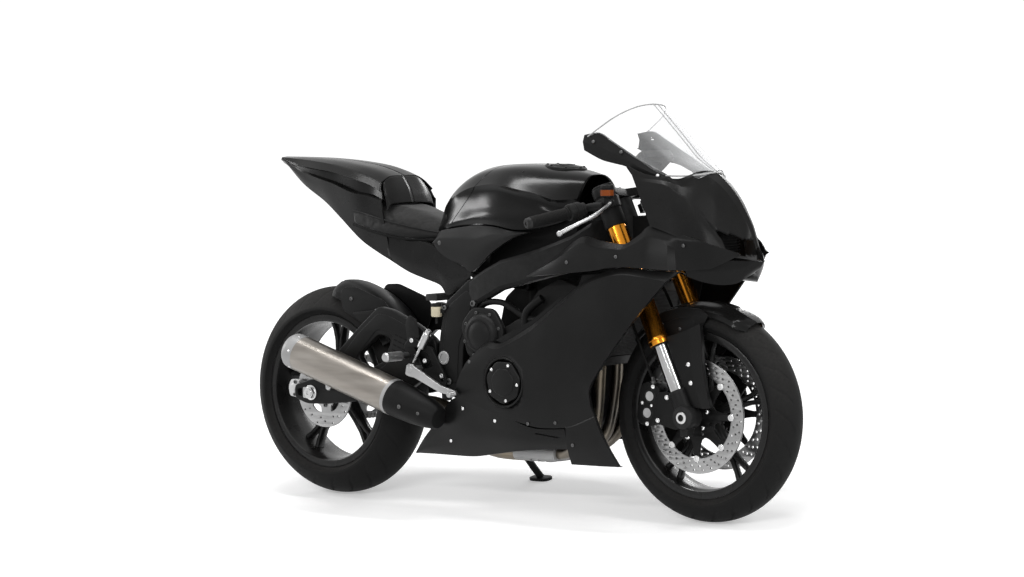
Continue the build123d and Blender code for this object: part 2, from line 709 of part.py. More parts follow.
# exhaust: four header pipes under the engine into a collector, and the pipe out to the silencer
header_radius = 17.0
header_ys = (-112.0, -40.0, 40.0, 112.0)
headers = []
for y in header_ys:
    path = ((1006, y, 574), (1034, y, 530), (1024, y, 380), (1000, y * 0.8 - 4, 240),
            (930, y * 0.5 - 20, 176), (800, y * 0.3 - 40, 170))
    with BuildPart() as header:
        with BuildLine():
            header_wire = FilletPolyline(*path, radius=24)
        with BuildSketch(Plane(origin=path[0], z_dir=header_wire % 0)):
            Circle(header_radius)
        sweep()
    headers.append(header.part)
link_path = ((800, -44, 170), (640, -52, 176), (545, -60, 232), (490, -112, 290), (446, -176, 306),
             (can_front[0] + 20, -can_y + 4, can_front[1] - 6))
with BuildPart() as link_pipe:
    with BuildLine():
        link_wire = FilletPolyline(*link_path, radius=34)
    with BuildSketch(Plane(origin=link_path[0], z_dir=link_wire % 0)):
        Circle(27)
    sweep()
with BuildPart() as collector:
    with BuildSketch(Plane(origin=(900, -42, 172), x_dir=(0, 1, 0), z_dir=(-1, 0, 0))):
        Rectangle(120, 44)
    with BuildSketch(Plane(origin=(740, -48, 172), x_dir=(0, 1, 0), z_dir=(-1, 0, 0))):
        Rectangle(84, 50)
    loft(ruled=True)
exhaust = headers[0].fuse(*headers[1:], link_pipe.part, collector.part)
exhaust = exhaust - engine
keep("exhaust_headers", exhaust)

can_line = Vector(can_rear[0] - can_front[0], 0, can_rear[1] - can_front[1])
can_length = can_line.length


def can_plane(along):
    start = Vector(can_front[0], -can_y, can_front[1]) + can_line.normalized() * along
    return Plane(origin=start, x_dir=(0, 1, 0), z_dir=can_line)


with BuildPart() as silencer:
    with BuildSketch(can_plane(0)):
        Circle(can_radius)
    extrude(amount=can_length)
    with BuildSketch(can_plane(can_length - 30)):
        Circle(26)
    extrude(amount=30, mode=Mode.SUBTRACT)
keep("silencer", silencer.part - exhaust)

with BuildPart() as shroud:
    with BuildSketch(can_plane(-2)):
        Circle(can_radius + 2)
    with BuildSketch(Plane(origin=(470, -198, 296), x_dir=(0, 1, 0), z_dir=(-0.95, 0, 0.31))):
        Circle(52)
    with BuildSketch(Plane(origin=(546, -192, 270), x_dir=(0, 1, 0), z_dir=(-0.95, 0, 0.31))):
        Circle(38)
    loft(ruled=True)
keep("silencer_shroud", shroud.part - exhaust)

# rearsets: plate, peg, pedal and heel guard on each side
hanger_outline = ((545, 400), (500, 470), (420, 500), (392, 470), (420, 420), (470, 380), (540, 350), (560, 370))
hanger_wall = 12.0
keep("rearset_plates", both(slab(hanger_outline, plate_out, plate_out + hanger_wall)))
peg_place = (408, 444)
with BuildPart() as peg:
    with BuildSketch(right_side(plate_out + hanger_wall, peg_place)):
        Circle(10)
    extrude(amount=100)
    with BuildSketch(right_side(plate_out + 40, peg_place)):
        Circle(14)
    extrude(amount=70)
keep("foot_pegs", both(peg.part))
pedal_outline = ((442, 392), (452, 424), (474, 418), (572, 366), (632, 350), (632, 334), (572, 344), (474, 384))
pedal_in = 200.0
pedal = slab(pedal_outline, pedal_in, pedal_in + 11)
with BuildPart() as pedal_pin:
    with BuildSketch(right_side(plate_out + hanger_wall, (458, 408))):
        Circle(9)
    extrude(amount=pedal_in - plate_out)
    with BuildSketch(right_side(pedal_in, (624, 342))):
        Circle(8)
    extrude(amount=34)
keep("foot_pedals", both(pedal + pedal_pin.part))

with BuildPart() as fluid_cup:
    with BuildSketch(Plane(origin=(514, -150, 558), x_dir=(1, 0, 0), z_dir=(0, 0, 1))):
        Circle(16)
    extrude(amount=40)
    with BuildSketch(Plane(origin=(514, -150, 570), x_dir=(1, 0, 0), z_dir=(0, 0, 1))):
        with Locations((16, 0)):
            Rectangle(34, 10)
    extrude(amount=12)
keep("rear_fluid_cup", fluid_cup.part - pivot_plate)

# fuel tank
tank_sections = (
    # x, then (z, half width) from the top down
    (448, (838, 20), (836, 40), (826, 66), (806, 74), (800, 60)),
    (480, (905, 28), (896, 60), (866, 84), (820, 88), (806, 70)),
    (540, (952, 34), (934, 80), (890, 110), (836, 112), (816, 96)),
    (640, (990, 42), (972, 92), (932, 132), (840, 140), (828, 120)),
    (760, (998, 60), (986, 104), (938, 156), (850, 166), (826, 150)),
    (860, (991, 62), (976, 104), (922, 160), (850, 164), (812, 150)),
    (940, (978, 56), (952, 96), (896, 138), (846, 138), (826, 124)),
    (1002, (966, 46), (936, 76), (896, 92), (868, 92), (852, 80)),
)
tank = section_loft(tank_sections)
keep("fuel_tank", tank)

cover_outline = ((474, 773), (499, 806), (545, 812), (653, 824), (738, 821), (816, 808), (877, 806), (816, 788),
                 (727, 746), (645, 692), (513, 737))
cover_plan = (
    # x, then (z, half width)
    (460, (900, 112), (600, 112)),
    (513, (900, 122), (600, 122)),
    (645, (900, 146), (600, 142)),
    (816, (900, 168), (600, 165)),
    (900, (900, 170), (600, 170)),
)
cover_body = section_loft(cover_plan) - section_loft(cover_plan, 12.0, 40.0, 40.0)
cover_right = common(cover_body, slab(cover_outline, 40, 220)) - tank
keep("tank_covers", both(cover_right))

# seat
seat_sections = (
    (150, (904, 96), (890, 120), (836, 128), (820, 110)),
    (300, (886, 100), (872, 124), (806, 130), (790, 116)),
    (400, (862, 78), (850, 106), (786, 112), (772, 100)),
    (486, (834, 48), (824, 70), (786, 76), (776, 66)),
)
seat_outline = ((159, 896), (302, 882), (366, 862), (439, 835), (486, 818), (468, 778), (384, 776), (212, 812))
seat = common(section_loft(seat_sections), slab(seat_outline, -200, 200))
keep("rider_seat", seat - tank)

# tail
tail_sections = (
    (-216, (1045, 22), (1015, 27), (900, 16), (600, 12)),
    (0, (1045, 74), (985, 94), (880, 66), (600, 50)),
    (150, (1045, 88), (950, 122), (800, 92), (600, 70)),
    (300, (1045, 98), (880, 128), (730, 100), (600, 88)),
    (470, (1045, 98), (800, 118), (680, 114), (600, 104)),
    (650, (1045, 110), (740, 138), (660, 134), (600, 124)),
)
tail_outline = ((-213, 1027), (-195, 1014), (-118, 961), (-55, 911), (43, 877), (76, 844), (134, 809), (221, 747),
                (363, 684), (486, 649), (517, 613), (638, 688), (513, 733), (468, 772), (384, 770), (206, 806),
                (150, 900), (302, 890), (262, 967), (150, 1000), (11, 1017))
duct_outline = ((30, 976), (236, 946), (276, 896), (150, 906), (90, 930))
tail = common(section_loft(tail_sections), slab(tail_outline, -200, 200))
tail = tail - slab(duct_outline, 58, 200) - mirror(slab(duct_outline, 58, 200), about=Plane.XZ)
tail = tail - slab(((380, 500), (380, 766), (700, 766), (700, 500)), -101, 101)
keep("tail_cowl", tail - seat - pivot_plate - mirror(pivot_plate, about=Plane.XZ))

# side panels: a shell cut to each panel's side outline
skin_sections = (
    # x, then (z, half width) from the top down
    (360, (640, 92), (480, 112), (330, 130), (230, 130), (165, 116), (140, 90)),
    (620, (720, 142), (520, 178), (420, 194), (310, 192), (200, 162), (140, 120)),
    (820, (780, 166), (600, 202), (480, 214), (330, 212), (200, 180), (140, 140)),
    (1010, (840, 184), (690, 204), (580, 217), (420, 217), (230, 190), (140, 158)),
    (1200, (850, 192), (720, 208), (600, 216), (450, 214), (250, 196), (140, 176)),
    (1360, (870, 176), (740, 198), (660, 203), (500, 200), (300, 192), (140, 178)),
    (1560, (870, 92), (750, 104), (680, 116), (500, 120), (300, 120), (140, 110)),
)
main_outline = ((725, 492), (790, 490), (923, 556), (1015, 618), (1139, 702), (1215, 712), (1402, 703),
                (1377, 678), (1271, 564), (1187, 472), (1130, 398), (1116, 345), (1128, 289), (1192, 160),
                (1012, 154), (1019, 262), (903, 258), (605, 331), (628, 390), (647, 432), (672, 448))
upper_outline = ((883, 683), (1000, 748), (1076, 796), (1185, 781), (1233, 779), (1318, 830), (1400, 806),
                 (1536, 748), (1473, 709), (1402, 706), (1215, 716), (1139, 704), (1004, 692))
lower_outline = ((376, 150), (520, 263), (605, 328), (903, 255), (1012, 258), (1019, 200), (814, 183),
                 (619, 154))
inner_outline = ((760, 500), (900, 560), (1000, 625), (1060, 640), (1080, 690), (1240, 700), (1180, 520),
                 (1090, 420), (1090, 260), (1000, 225), (920, 300), (860, 470))


def panel(outline, inset, wall=panel_wall):
    body = section_loft(skin_sections, inset) - section_loft(skin_sections, inset + wall, 60.0, 60.0)
    return common(body, slab(outline, 40, 260))


cover_hole = Pos(pulse_centre[0], 0, pulse_centre[1]) * Rot(X=90) * Cylinder(pulse_radius + 12, 600)
main_right = panel(main_outline, 0.0) - cover_hole
keep("side_fairing_right", main_right)
keep("side_fairing_left", mirror(main_right, about=Plane.XZ))
upper_side = panel(upper_outline, 12.0)
lower_right = panel(lower_outline, 4.0)
stand_notch = slab(((340, 120), (340, 300), (600, 300), (560, 120)), 60, 260)
keep("lower_cowl_right", lower_right - made["silencer_shroud"])
keep("lower_cowl_left", mirror(lower_right - stand_notch, about=Plane.XZ))
keep("inner_panels", both(panel(inner_outline, 24.0, 4.0) - cover_hole))

# nose
nose_sections = (
    (1222, (1016, 1), (1012, 84), (985, 128), (930, 154), (862, 178), (800, 192)),
    (1320, (990, 1), (985, 76), (962, 120), (910, 150), (850, 172), (790, 186)),
    (1411, (977, 1), (968, 50), (935, 98), (880, 128), (820, 153), (772, 166)),
    (1476, (918, 1), (912, 40), (880, 82), (840, 110), (790, 130), (740, 142)),
    (1528, (823, 1), (818, 30), (805, 60), (785, 86), (764, 106), (726, 114)),
    (1562, (757, 1), (756, 20), (754, 40), (750, 60), (744, 75), (724, 84)),
)
nose_outline = ((1240, 950), (1254, 972), (1330, 958), (1372, 950), (1395, 978), (1411, 990), (1480, 930),
                (1580, 724), (1536, 726), (1462, 754), (1330, 796), (1318, 808))
nose_body = section_loft(nose_sections) - section_loft(nose_sections, panel_wall, -panel_wall, 60.0)
nose = common(nose_body, slab(nose_outline, -260, 260))
intake = slab(((1450, 748), (1450, 812), (1620, 812), (1620, 748)), -86, 86)
chin_outline = ((1440, 752), (1540, 752), (1568, 722), (1538, 694), (1453, 647), (1400, 640), (1440, 670))
chin_plan = ((1380, 150), (1476, 138), (1528, 108), (1560, 74), (1568, 10))
with BuildPart() as chin:
    with BuildSketch(Plane.XY.offset(600)):
        with BuildLine():
            Polyline(*[(x, -y) for x, y in chin_plan], *[(x, y) for x, y in reversed(chin_plan)], close=True)
        make_face()
    extrude(amount=200)
chin_piece = common(chin.part, slab(chin_outline, -200, 200))

# windscreen and the dark surround along its lower edges
screen_sections = (
    # x, apex z, edge z, edge half width
    (1040, 1316, 1042, 130),
    (1150, 1211, 1012, 131),
    (1250, 1112, 984, 128),
    (1350, 1010, 946, 110),
    (1412, 968, 930, 64),
)
screen_shape = ((1.0, -0.6), (1.0, 0.0), (0.97, 0.3), (0.82, 0.62), (0.48, 0.88), (0.02, 1.0))


def screen_body(shrink):
    rows = []
    for x, apex, edge, half in screen_sections:
        side = [(edge + share * (apex - edge) - shrink, half * width)
                for width, share in reversed(screen_shape)]
        rows.append((x, *side))
    return section_loft(rows, shrink)


glass_outline = ((1066, 1074), (1197, 1158), (1300, 1100), (1410, 990), (1410, 960), (1372, 952), (1323, 964),
                 (1240, 1008), (1150, 1058), (1104, 1083))
band_outline = ((1052, 1036), (1054, 1076), (1066, 1071), (1104, 1080), (1150, 1055), (1240, 1005), (1323, 961),
                (1344, 945), (1262, 958), (1196, 990), (1115, 1008))
screen_shell = screen_body(0.0) - screen_body(4.0)
glass = common(screen_shell, slab(glass_outline, -200, 200))
keep("windscreen", glass)
band_shell = screen_body(0.0) - screen_body(9.0)
band = common(band_shell, slab(band_outline, 20, 200)) - glass
keep("screen_surround", both(band))
cowl = (nose - intake) + chin_piece - glass - band - mirror(band, about=Plane.XZ)
cowl = largest(cowl)
keep("upper_cowl", cowl)
keep("upper_side_panels", both(largest(upper_side - cowl)))

# intake duct from the head to the nose, with the instrument above it
duct = slab(((1150, 784), (1150, 850), (1300, 842), (1452, 806), (1452, 752), (1300, 764)), -38, 38)
keep("air_duct", duct - head.part)
with BuildPart() as dash:
    with BuildSketch(Plane(origin=(1194, 0, 990), x_dir=(0, 1, 0), z_dir=(-0.64, 0, 0.77))):
        RectangleRounded(142, 76, 14)
    extrude(amount=24)
    with BuildSketch(Plane(origin=(1196, 0, 846), x_dir=(1, 0, 0), z_dir=(0, 0, 1))):
        Rectangle(14, 60)
    extrude(amount=150)
keep("instrument_dash", dash.part - duct)

# side stand: a bar from its pivot to a flat foot on the floor
pivot = Vector(*stand_pivot)
foot_y = stand_foot[1] * cos(radians(lean_angle))
foot_z = stand_foot[1] * sin(radians(lean_angle))
foot_base = Vector(stand_foot[0], foot_y, foot_z)
foot_top_point = foot_base + floor_up * foot_wall
leg = foot_top_point - pivot
with BuildPart() as stand_leg:
    with BuildSketch(Plane(origin=pivot, z_dir=leg)):
        Circle(stand_bar)
    extrude(amount=leg.length)
folded = Vector(-0.98, -0.02, 0.10)
stand_axis = leg.normalized().cross(folded).normalized()
with BuildPart() as stand_foot_pad:
    with BuildSketch(Plane(origin=foot_base, x_dir=(1, 0, 0), z_dir=floor_up)):
        RectangleRounded(foot_length, foot_width, 18)
    extrude(amount=foot_wall)
with BuildPart() as stand_eye:
    with BuildSketch(Plane(origin=pivot - stand_axis * eye_half, z_dir=stand_axis)):
        Circle(18)
    extrude(amount=2 * eye_half)
    with BuildSketch(Plane(origin=pivot - stand_axis * eye_half, z_dir=stand_axis)):
        Circle(pin_radius + slip)
    extrude(amount=2 * eye_half, mode=Mode.SUBTRACT)
leg_bar = stand_leg.part - Plane(origin=pivot, z_dir=stand_axis).location * Cylinder(pin_radius + slip, 60)
keep("side_stand", leg_bar + stand_foot_pad.part + stand_eye.part)

with BuildPart() as stand_pin:
    with BuildSketch(Plane(origin=pivot - stand_axis * 34, z_dir=stand_axis)):
        Circle(pin_radius)
    extrude(amount=34 + eye_half + 8)
    with BuildSketch(Plane(origin=pivot + stand_axis * (eye_half + 1), z_dir=stand_axis)):
        Circle(15)
    extrude(amount=7)
    with BuildSketch(Plane(origin=pivot - stand_axis * 34, z_dir=stand_axis)):
        Circle(17)
    extrude(amount=34 - eye_half - 1)
bracket_outline = ((500, 178), (498, 214), (560, 256), (655, 258), (655, 212), (600, 206))
keep("stand_bracket", stand_pin.part + slab(bracket_outline, -waist_half - 8, -waist_half))

# lean every piece onto the stand, centre the whole over the origin and write it
os.makedirs("parts", exist_ok=True)
leaned = Rot(X=-lean_angle)
stood = {name: leaned * part for name, part in made.items()}
boxes = [part.bounding_box() for part in stood.values()]
low = Vector(*[min(getattr(box.min, way) for box in boxes) for way in "XYZ"])
high = Vector(*[max(getattr(box.max, way) for box in boxes) for way in "XYZ"])
shift = Vector(-(low.X + high.X) / 2, -(low.Y + high.Y) / 2, -low.Z)
print("origin shift", tuple(round(value, 4) for value in shift))
print("size", tuple(round(value, 1) for value in high - low))
print("stand axis", tuple(stand_axis))
for name, part in stood.items():
    piece = joined(Pos(shift) * part)
    piece.label = name
    export_step(piece, f"parts/{name}.step")
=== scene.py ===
import json
from math import atan2, cos, pi, radians, sin

import bmesh
import bpy
from mathutils import Matrix, Vector


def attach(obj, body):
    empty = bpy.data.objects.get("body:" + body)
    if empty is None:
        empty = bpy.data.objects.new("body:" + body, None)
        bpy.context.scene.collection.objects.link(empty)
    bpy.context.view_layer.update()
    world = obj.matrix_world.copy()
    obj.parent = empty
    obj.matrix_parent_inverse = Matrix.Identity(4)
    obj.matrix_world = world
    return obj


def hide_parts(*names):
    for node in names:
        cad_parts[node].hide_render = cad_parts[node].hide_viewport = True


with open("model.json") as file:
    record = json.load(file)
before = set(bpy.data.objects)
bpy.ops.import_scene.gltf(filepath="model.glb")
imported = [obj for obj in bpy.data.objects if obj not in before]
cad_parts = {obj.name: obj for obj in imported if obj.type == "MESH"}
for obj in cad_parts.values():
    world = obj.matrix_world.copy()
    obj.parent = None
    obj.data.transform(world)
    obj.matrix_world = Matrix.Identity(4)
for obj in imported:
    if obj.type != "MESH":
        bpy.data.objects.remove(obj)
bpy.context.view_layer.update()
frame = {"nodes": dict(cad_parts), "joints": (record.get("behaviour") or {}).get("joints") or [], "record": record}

# The bike is drawn upright in millimetres: x forward from the rear axle, y to the rider's left,
# z up from the floor. bikeToRow leans it onto its stand and brings it into the frame, in metres.
bike = {
    "wheelbase": 1375.0,
    "frontHub": 300.96,   # axle heights with the bike upright
    "rearHub": 316.49,
    "rake": 24.0,
    "forkHalf": 104.0,
    "stemBehind": 33.4,
}
rearSpin = next(joint for joint in frame["joints"] if joint["name"] == "rear_wheel_spin")
lean = atan2(-rearSpin["axis"][2], rearSpin["axis"][1])
bikeToRow = (Matrix.Translation(rearSpin["pos_m"]) @ Matrix.Rotation(-lean, 4, "X")
             @ Matrix.Scale(0.001, 4) @ Matrix.Translation((0, 0, -bike["rearHub"])))
frontHub = Vector((bike["wheelbase"], 0, bike["frontHub"]))
rearHub = Vector((0, 0, bike["rearHub"]))
forkUp = Vector((-sin(radians(bike["rake"])), 0, cos(radians(bike["rake"]))))
forkAhead = Vector((cos(radians(bike["rake"])), 0, sin(radians(bike["rake"]))))
toRight, toLeft, upward = Vector((0, -1, 0)), Vector((0, 1, 0)), Vector((0, 0, 1))
print("frame loaded, lean", round(lean * 180 / pi, 2))

# camera, floor and light
studio = {
    "cameraPlace": (6391.2, -6924.5, 1109.7),
    "cameraAim": (678.7, -3.5, 636.1),
    "cameraRoll": -1.084,
    "lens": 108.77,
    "floorColour": (0.86, 0.86, 0.86, 1),
    "floorGlow": (0.36, 0.68),   # close by and far off
    "worldLight": 0.42,
    # name, place and aim in upright millimetres, size in millimetres, watts
    "lamps": (
        ("overhead", (700, -500, 3600), (700, 0, 600), (3600, 250), 72),
        ("sideBank", (1700, -4200, 2300), (700, 0, 600), (3400, 150), 60),
        ("frontBank", (4600, -600, 1900), (1200, 0, 600), (300, 1900), 42),
        ("farSide", (300, 4000, 2400), (700, 0, 700), (3200, 220), 46),
        ("rearBank", (-3400, -1200, 1900), (0, 0, 600), (400, 1500), 36),
    ),
}


def aimedMatrix(place, aim, roll=0.0):
    start, end = Vector(place), Vector(aim)
    turn = (end - start).to_track_quat("-Z", "Y").to_matrix().to_4x4()
    turn = Matrix.Rotation(-lean, 4, "X") @ turn @ Matrix.Rotation(radians(roll), 4, "Z")
    return Matrix.Translation(bikeToRow @ start) @ turn


def linkNodes(tree, *pairs):
    for output, entry in pairs:
        tree.links.new(output, entry)


def raySwitch(tree):
    # 1 for camera, mirror and glass rays, 0 for the rest
    path = tree.nodes.new("ShaderNodeLightPath")
    either = tree.nodes.new("ShaderNodeMath")
    either.operation = "MAXIMUM"
    anyOf = tree.nodes.new("ShaderNodeMath")
    anyOf.operation = "MAXIMUM"
    linkNodes(tree, (path.outputs["Is Camera Ray"], either.inputs[0]),
              (path.outputs["Is Glossy Ray"], either.inputs[1]), (either.outputs[0], anyOf.inputs[0]),
              (path.outputs["Is Transmission Ray"], anyOf.inputs[1]))
    return anyOf.outputs[0]


cameraData = bpy.data.cameras.new("photoCamera")
cameraData.lens = studio["lens"]
cameraData.sensor_width = 36.0
cameraData.clip_end = 200.0
camera = bpy.data.objects.new("photoCamera", cameraData)
camera.matrix_world = aimedMatrix(studio["cameraPlace"], studio["cameraAim"], studio["cameraRoll"])
bpy.context.scene.collection.objects.link(camera)
bpy.context.scene.camera = camera
bpy.context.scene.view_settings.view_transform = "Standard"

for lampName, lampPlace, lampAim, lampSize, watts in studio["lamps"]:
    lampData = bpy.data.lights.new(lampName, "AREA")
    lampData.shape = "RECTANGLE"
    lampData.size = lampSize[0] / 1000
    lampData.size_y = lampSize[1] / 1000
    lampData.energy = watts
    lamp = bpy.data.objects.new(lampName, lampData)
    lamp.matrix_world = aimedMatrix(lampPlace, lampAim)
    bpy.context.scene.collection.objects.link(lamp)

world = bpy.data.worlds.new("studioWorld")
bpy.context.scene.world = world
world.use_nodes = True
worldTree = world.node_tree
worldTree.nodes.clear()
sky = worldTree.nodes.new("ShaderNodeBackground")
skyLevel = worldTree.nodes.new("ShaderNodeMapRange")
skyLevel.inputs["To Min"].default_value = studio["worldLight"]
skyLevel.inputs["To Max"].default_value = 1.0
skyOut = worldTree.nodes.new("ShaderNodeOutputWorld")
linkNodes(worldTree, (raySwitch(worldTree), skyLevel.inputs["Value"]),
          (skyLevel.outputs[0], sky.inputs["Strength"]), (sky.outputs[0], skyOut.inputs["Surface"]))
sky.inputs["Color"].default_value = (1, 1, 1, 1)

floorMesh = bpy.data.meshes.new("studioFloor")
floorMesh.from_pydata([(-60, -60, 0), (60, -60, 0), (60, 60, 0), (-60, 60, 0)], [], [(0, 1, 2, 3)])
floor = bpy.data.objects.new("studioFloor", floorMesh)
bpy.context.scene.collection.objects.link(floor)
floorLook = bpy.data.materials.new("studioFloor")
floorLook.use_nodes = True
floorTree = floorLook.node_tree
floorShade = floorTree.nodes["Principled BSDF"]
floorShade.inputs["Base Color"].default_value = studio["floorColour"]
floorShade.inputs["Roughness"].default_value = 0.9
floorShade.inputs["Specular IOR Level"].default_value = 0.0
floorShade.inputs["Emission Color"].default_value = (1, 1, 1, 1)
floorGlow = floorTree.nodes.new("ShaderNodeMath")
floorGlow.operation = "MULTIPLY"
floorPlace = floorTree.nodes.new("ShaderNodeNewGeometry")
floorReach = floorTree.nodes.new("ShaderNodeVectorMath")
floorReach.operation = "LENGTH"
floorLevel = floorTree.nodes.new("ShaderNodeMapRange")
for entry, value in zip(floorLevel.inputs[1:5], (1.2, 4.5, *studio["floorGlow"])):
    entry.default_value = value
linkNodes(floorTree, (floorPlace.outputs["Position"], floorReach.inputs[0]),
          (floorReach.outputs["Value"], floorLevel.inputs["Value"]),
          (floorLevel.outputs[0], floorGlow.inputs[1]), (raySwitch(floorTree), floorGlow.inputs[0]),
          (floorGlow.outputs[0], floorShade.inputs["Emission Strength"]))
floorMesh.materials.append(floorLook)
print("studio set")


# shared surface effects, each a node group that gives out masks or heights only
def effectGroup(name, inputs, outputs):
    group = bpy.data.node_groups.new(name, "ShaderNodeTree")
    for socketName, value in inputs:
        socket = group.interface.new_socket(socketName, in_out="INPUT", socket_type="NodeSocketFloat")
        socket.default_value = value
    for socketName in outputs:
        group.interface.new_socket(socketName, in_out="OUTPUT", socket_type="NodeSocketFloat")
    entry = group.nodes.new("NodeGroupInput")
    result = group.nodes.new("NodeGroupOutput")
    return group, entry, result


def noiseNode(tree, vector, scale, detail=3.0, stretch=None):
    coords = vector
    if stretch:
        mapping = tree.nodes.new("ShaderNodeMapping")
        mapping.inputs["Scale"].default_value = stretch
        linkNodes(tree, (vector, mapping.inputs["Vector"]))
        coords = mapping.outputs[0]
    noise = tree.nodes.new("ShaderNodeTexNoise")
    noise.inputs["Detail"].default_value = detail
    linkNodes(tree, (coords, noise.inputs["Vector"]))
    if isinstance(scale, (int, float)):
        noise.inputs["Scale"].default_value = scale
    else:
        linkNodes(tree, (scale, noise.inputs["Scale"]))
    return noise.outputs["Fac"]


def mathNode(tree, operation, first, second=None, clamp=False):
    node = tree.nodes.new("ShaderNodeMath")
    node.operation = operation
    node.use_clamp = clamp
    for entry, value in zip(node.inputs, (first, second)):
        if value is None:
            continue
        if isinstance(value, (int, float)):
            entry.default_value = value
        else:
            linkNodes(tree, (value, entry))
    return node.outputs[0]


def makeEdgeWear():
    group, entry, result = effectGroup("edgeWear", (("Sharpness", 9.0), ("Break up", 60.0)), ("Mask",))
    shape = group.nodes.new("ShaderNodeNewGeometry")
    place = group.nodes.new("ShaderNodeTexCoord")
    speck = noiseNode(group, place.outputs["Object"], entry.outputs["Break up"], 4)
    raised = mathNode(group, "SUBTRACT", shape.outputs["Pointiness"], 0.53)
    keen = mathNode(group, "MULTIPLY", raised, entry.outputs["Sharpness"], clamp=True)
    linkNodes(group, (mathNode(group, "MULTIPLY", keen, speck, clamp=True), result.inputs["Mask"]))
    return group


def makeFineGrain():
    group, entry, result = effectGroup("fineGrain", (("Scale", 900.0), ("Blotch scale", 9.0)),
                                       ("Height", "Blotches"))
    place = group.nodes.new("ShaderNodeTexCoord")
    fine = noiseNode(group, place.outputs["Object"], entry.outputs["Scale"], 3)
    broad = noiseNode(group, place.outputs["Object"], entry.outputs["Blotch scale"], 4)
    linkNodes(group, (fine, result.inputs["Height"]), (broad, result.inputs["Blotches"]))
    return group


def makeBrushed():
    # fine lines along the bike's length, streaks in brightness with them
    group, entry, result = effectGroup("brushedLines", (("Scale", 260.0),), ("Height", "Streaks"))
    place = group.nodes.new("ShaderNodeTexCoord")
    lines = noiseNode(group, place.outputs["Object"], entry.outputs["Scale"], 2, (0.04, 1, 1))
    streaks = noiseNode(group, place.outputs["Object"], 34.0, 3, (0.12, 1, 1))
    linkNodes(group, (lines, result.inputs["Height"]), (streaks, result.inputs["Streaks"]))
    return group


def makeHideGrain():
    group, entry, result = effectGroup("hideGrain", (("Scale", 420.0),), ("Height", "Creases"))
    place = group.nodes.new("ShaderNodeTexCoord")
    cells = group.nodes.new("ShaderNodeTexVoronoi")
    cells.feature = "DISTANCE_TO_EDGE"
    linkNodes(group, (place.outputs["Object"], cells.inputs["Vector"]),
              (entry.outputs["Scale"], cells.inputs["Scale"]))
    pebble = mathNode(group, "MULTIPLY", cells.outputs["Distance"], 2.2, clamp=True)
    linkNodes(group, (pebble, result.inputs["Height"]),
              (noiseNode(group, place.outputs["Object"], 26.0, 4), result.inputs["Creases"]))
    return group


def makeSettledDust():
    # dust lies in specks on what faces up
    group, entry, result = effectGroup("settledDust", (("Amount", 0.25),), ("Mask",))
    shape = group.nodes.new("ShaderNodeNewGeometry")
    place = group.nodes.new("ShaderNodeTexCoord")
    parts = group.nodes.new("ShaderNodeSeparateXYZ")
    linkNodes(group, (shape.outputs["Normal"], parts.inputs[0]))
    facing = mathNode(group, "MULTIPLY", parts.outputs["Z"], 0.8, clamp=True)
    speck = noiseNode(group, place.outputs["Object"], 130.0, 5)
    lain = mathNode(group, "MULTIPLY", facing, speck)
    linkNodes(group, (mathNode(group, "MULTIPLY", lain, entry.outputs["Amount"], clamp=True),
                      result.inputs["Mask"]))
    return group


effects = {"wear": makeEdgeWear(), "grain": makeFineGrain(), "brushed": makeBrushed(), "hide": makeHideGrain(),
           "dust": makeSettledDust()}


def useEffect(tree, name, **values):
    node = tree.nodes.new("ShaderNodeGroup")
    node.node_tree = effects[name]
    for socketName, value in values.items():
        node.inputs[socketName.replace("_", " ")].default_value = value
    return node


def mixColours(tree, amount, first, second):
    mix = tree.nodes.new("ShaderNodeMix")
    mix.data_type = "RGBA"
    for entry, value in ((mix.inputs[6], first), (mix.inputs[7], second)):
        if isinstance(value, tuple):
            entry.default_value = value
        else:
            linkNodes(tree, (value, entry))
    linkNodes(tree, (amount, mix.inputs[0]))
    return mix.outputs[2]


def spread(tree, value, low, high):
    node = tree.nodes.new("ShaderNodeMapRange")
    node.inputs["From Min"].default_value = 0.3
    node.inputs["From Max"].default_value = 0.7
    node.inputs["To Min"].default_value = low
    node.inputs["To Max"].default_value = high
    linkNodes(tree, (value, node.inputs["Value"]))
    return node.outputs[0]


def grey(level, tint=(1, 1, 1)):
    return (level * tint[0], level * tint[1], level * tint[2], 1)


# every finish of the bike: the two greys or colours it wanders between, its roughness range, the scale
# and depth in metres of its relief, how worn its edges are, and what shows where it is worn
def finish(base, other, rough, relief, wear, worn, **more):
    base, other, worn = [tone if isinstance(tone, tuple) else grey(tone) for tone in (base, other, worn)]
    return dict(base=base, other=other, rough=rough, relief=relief, wear=wear, worn=worn, **more)


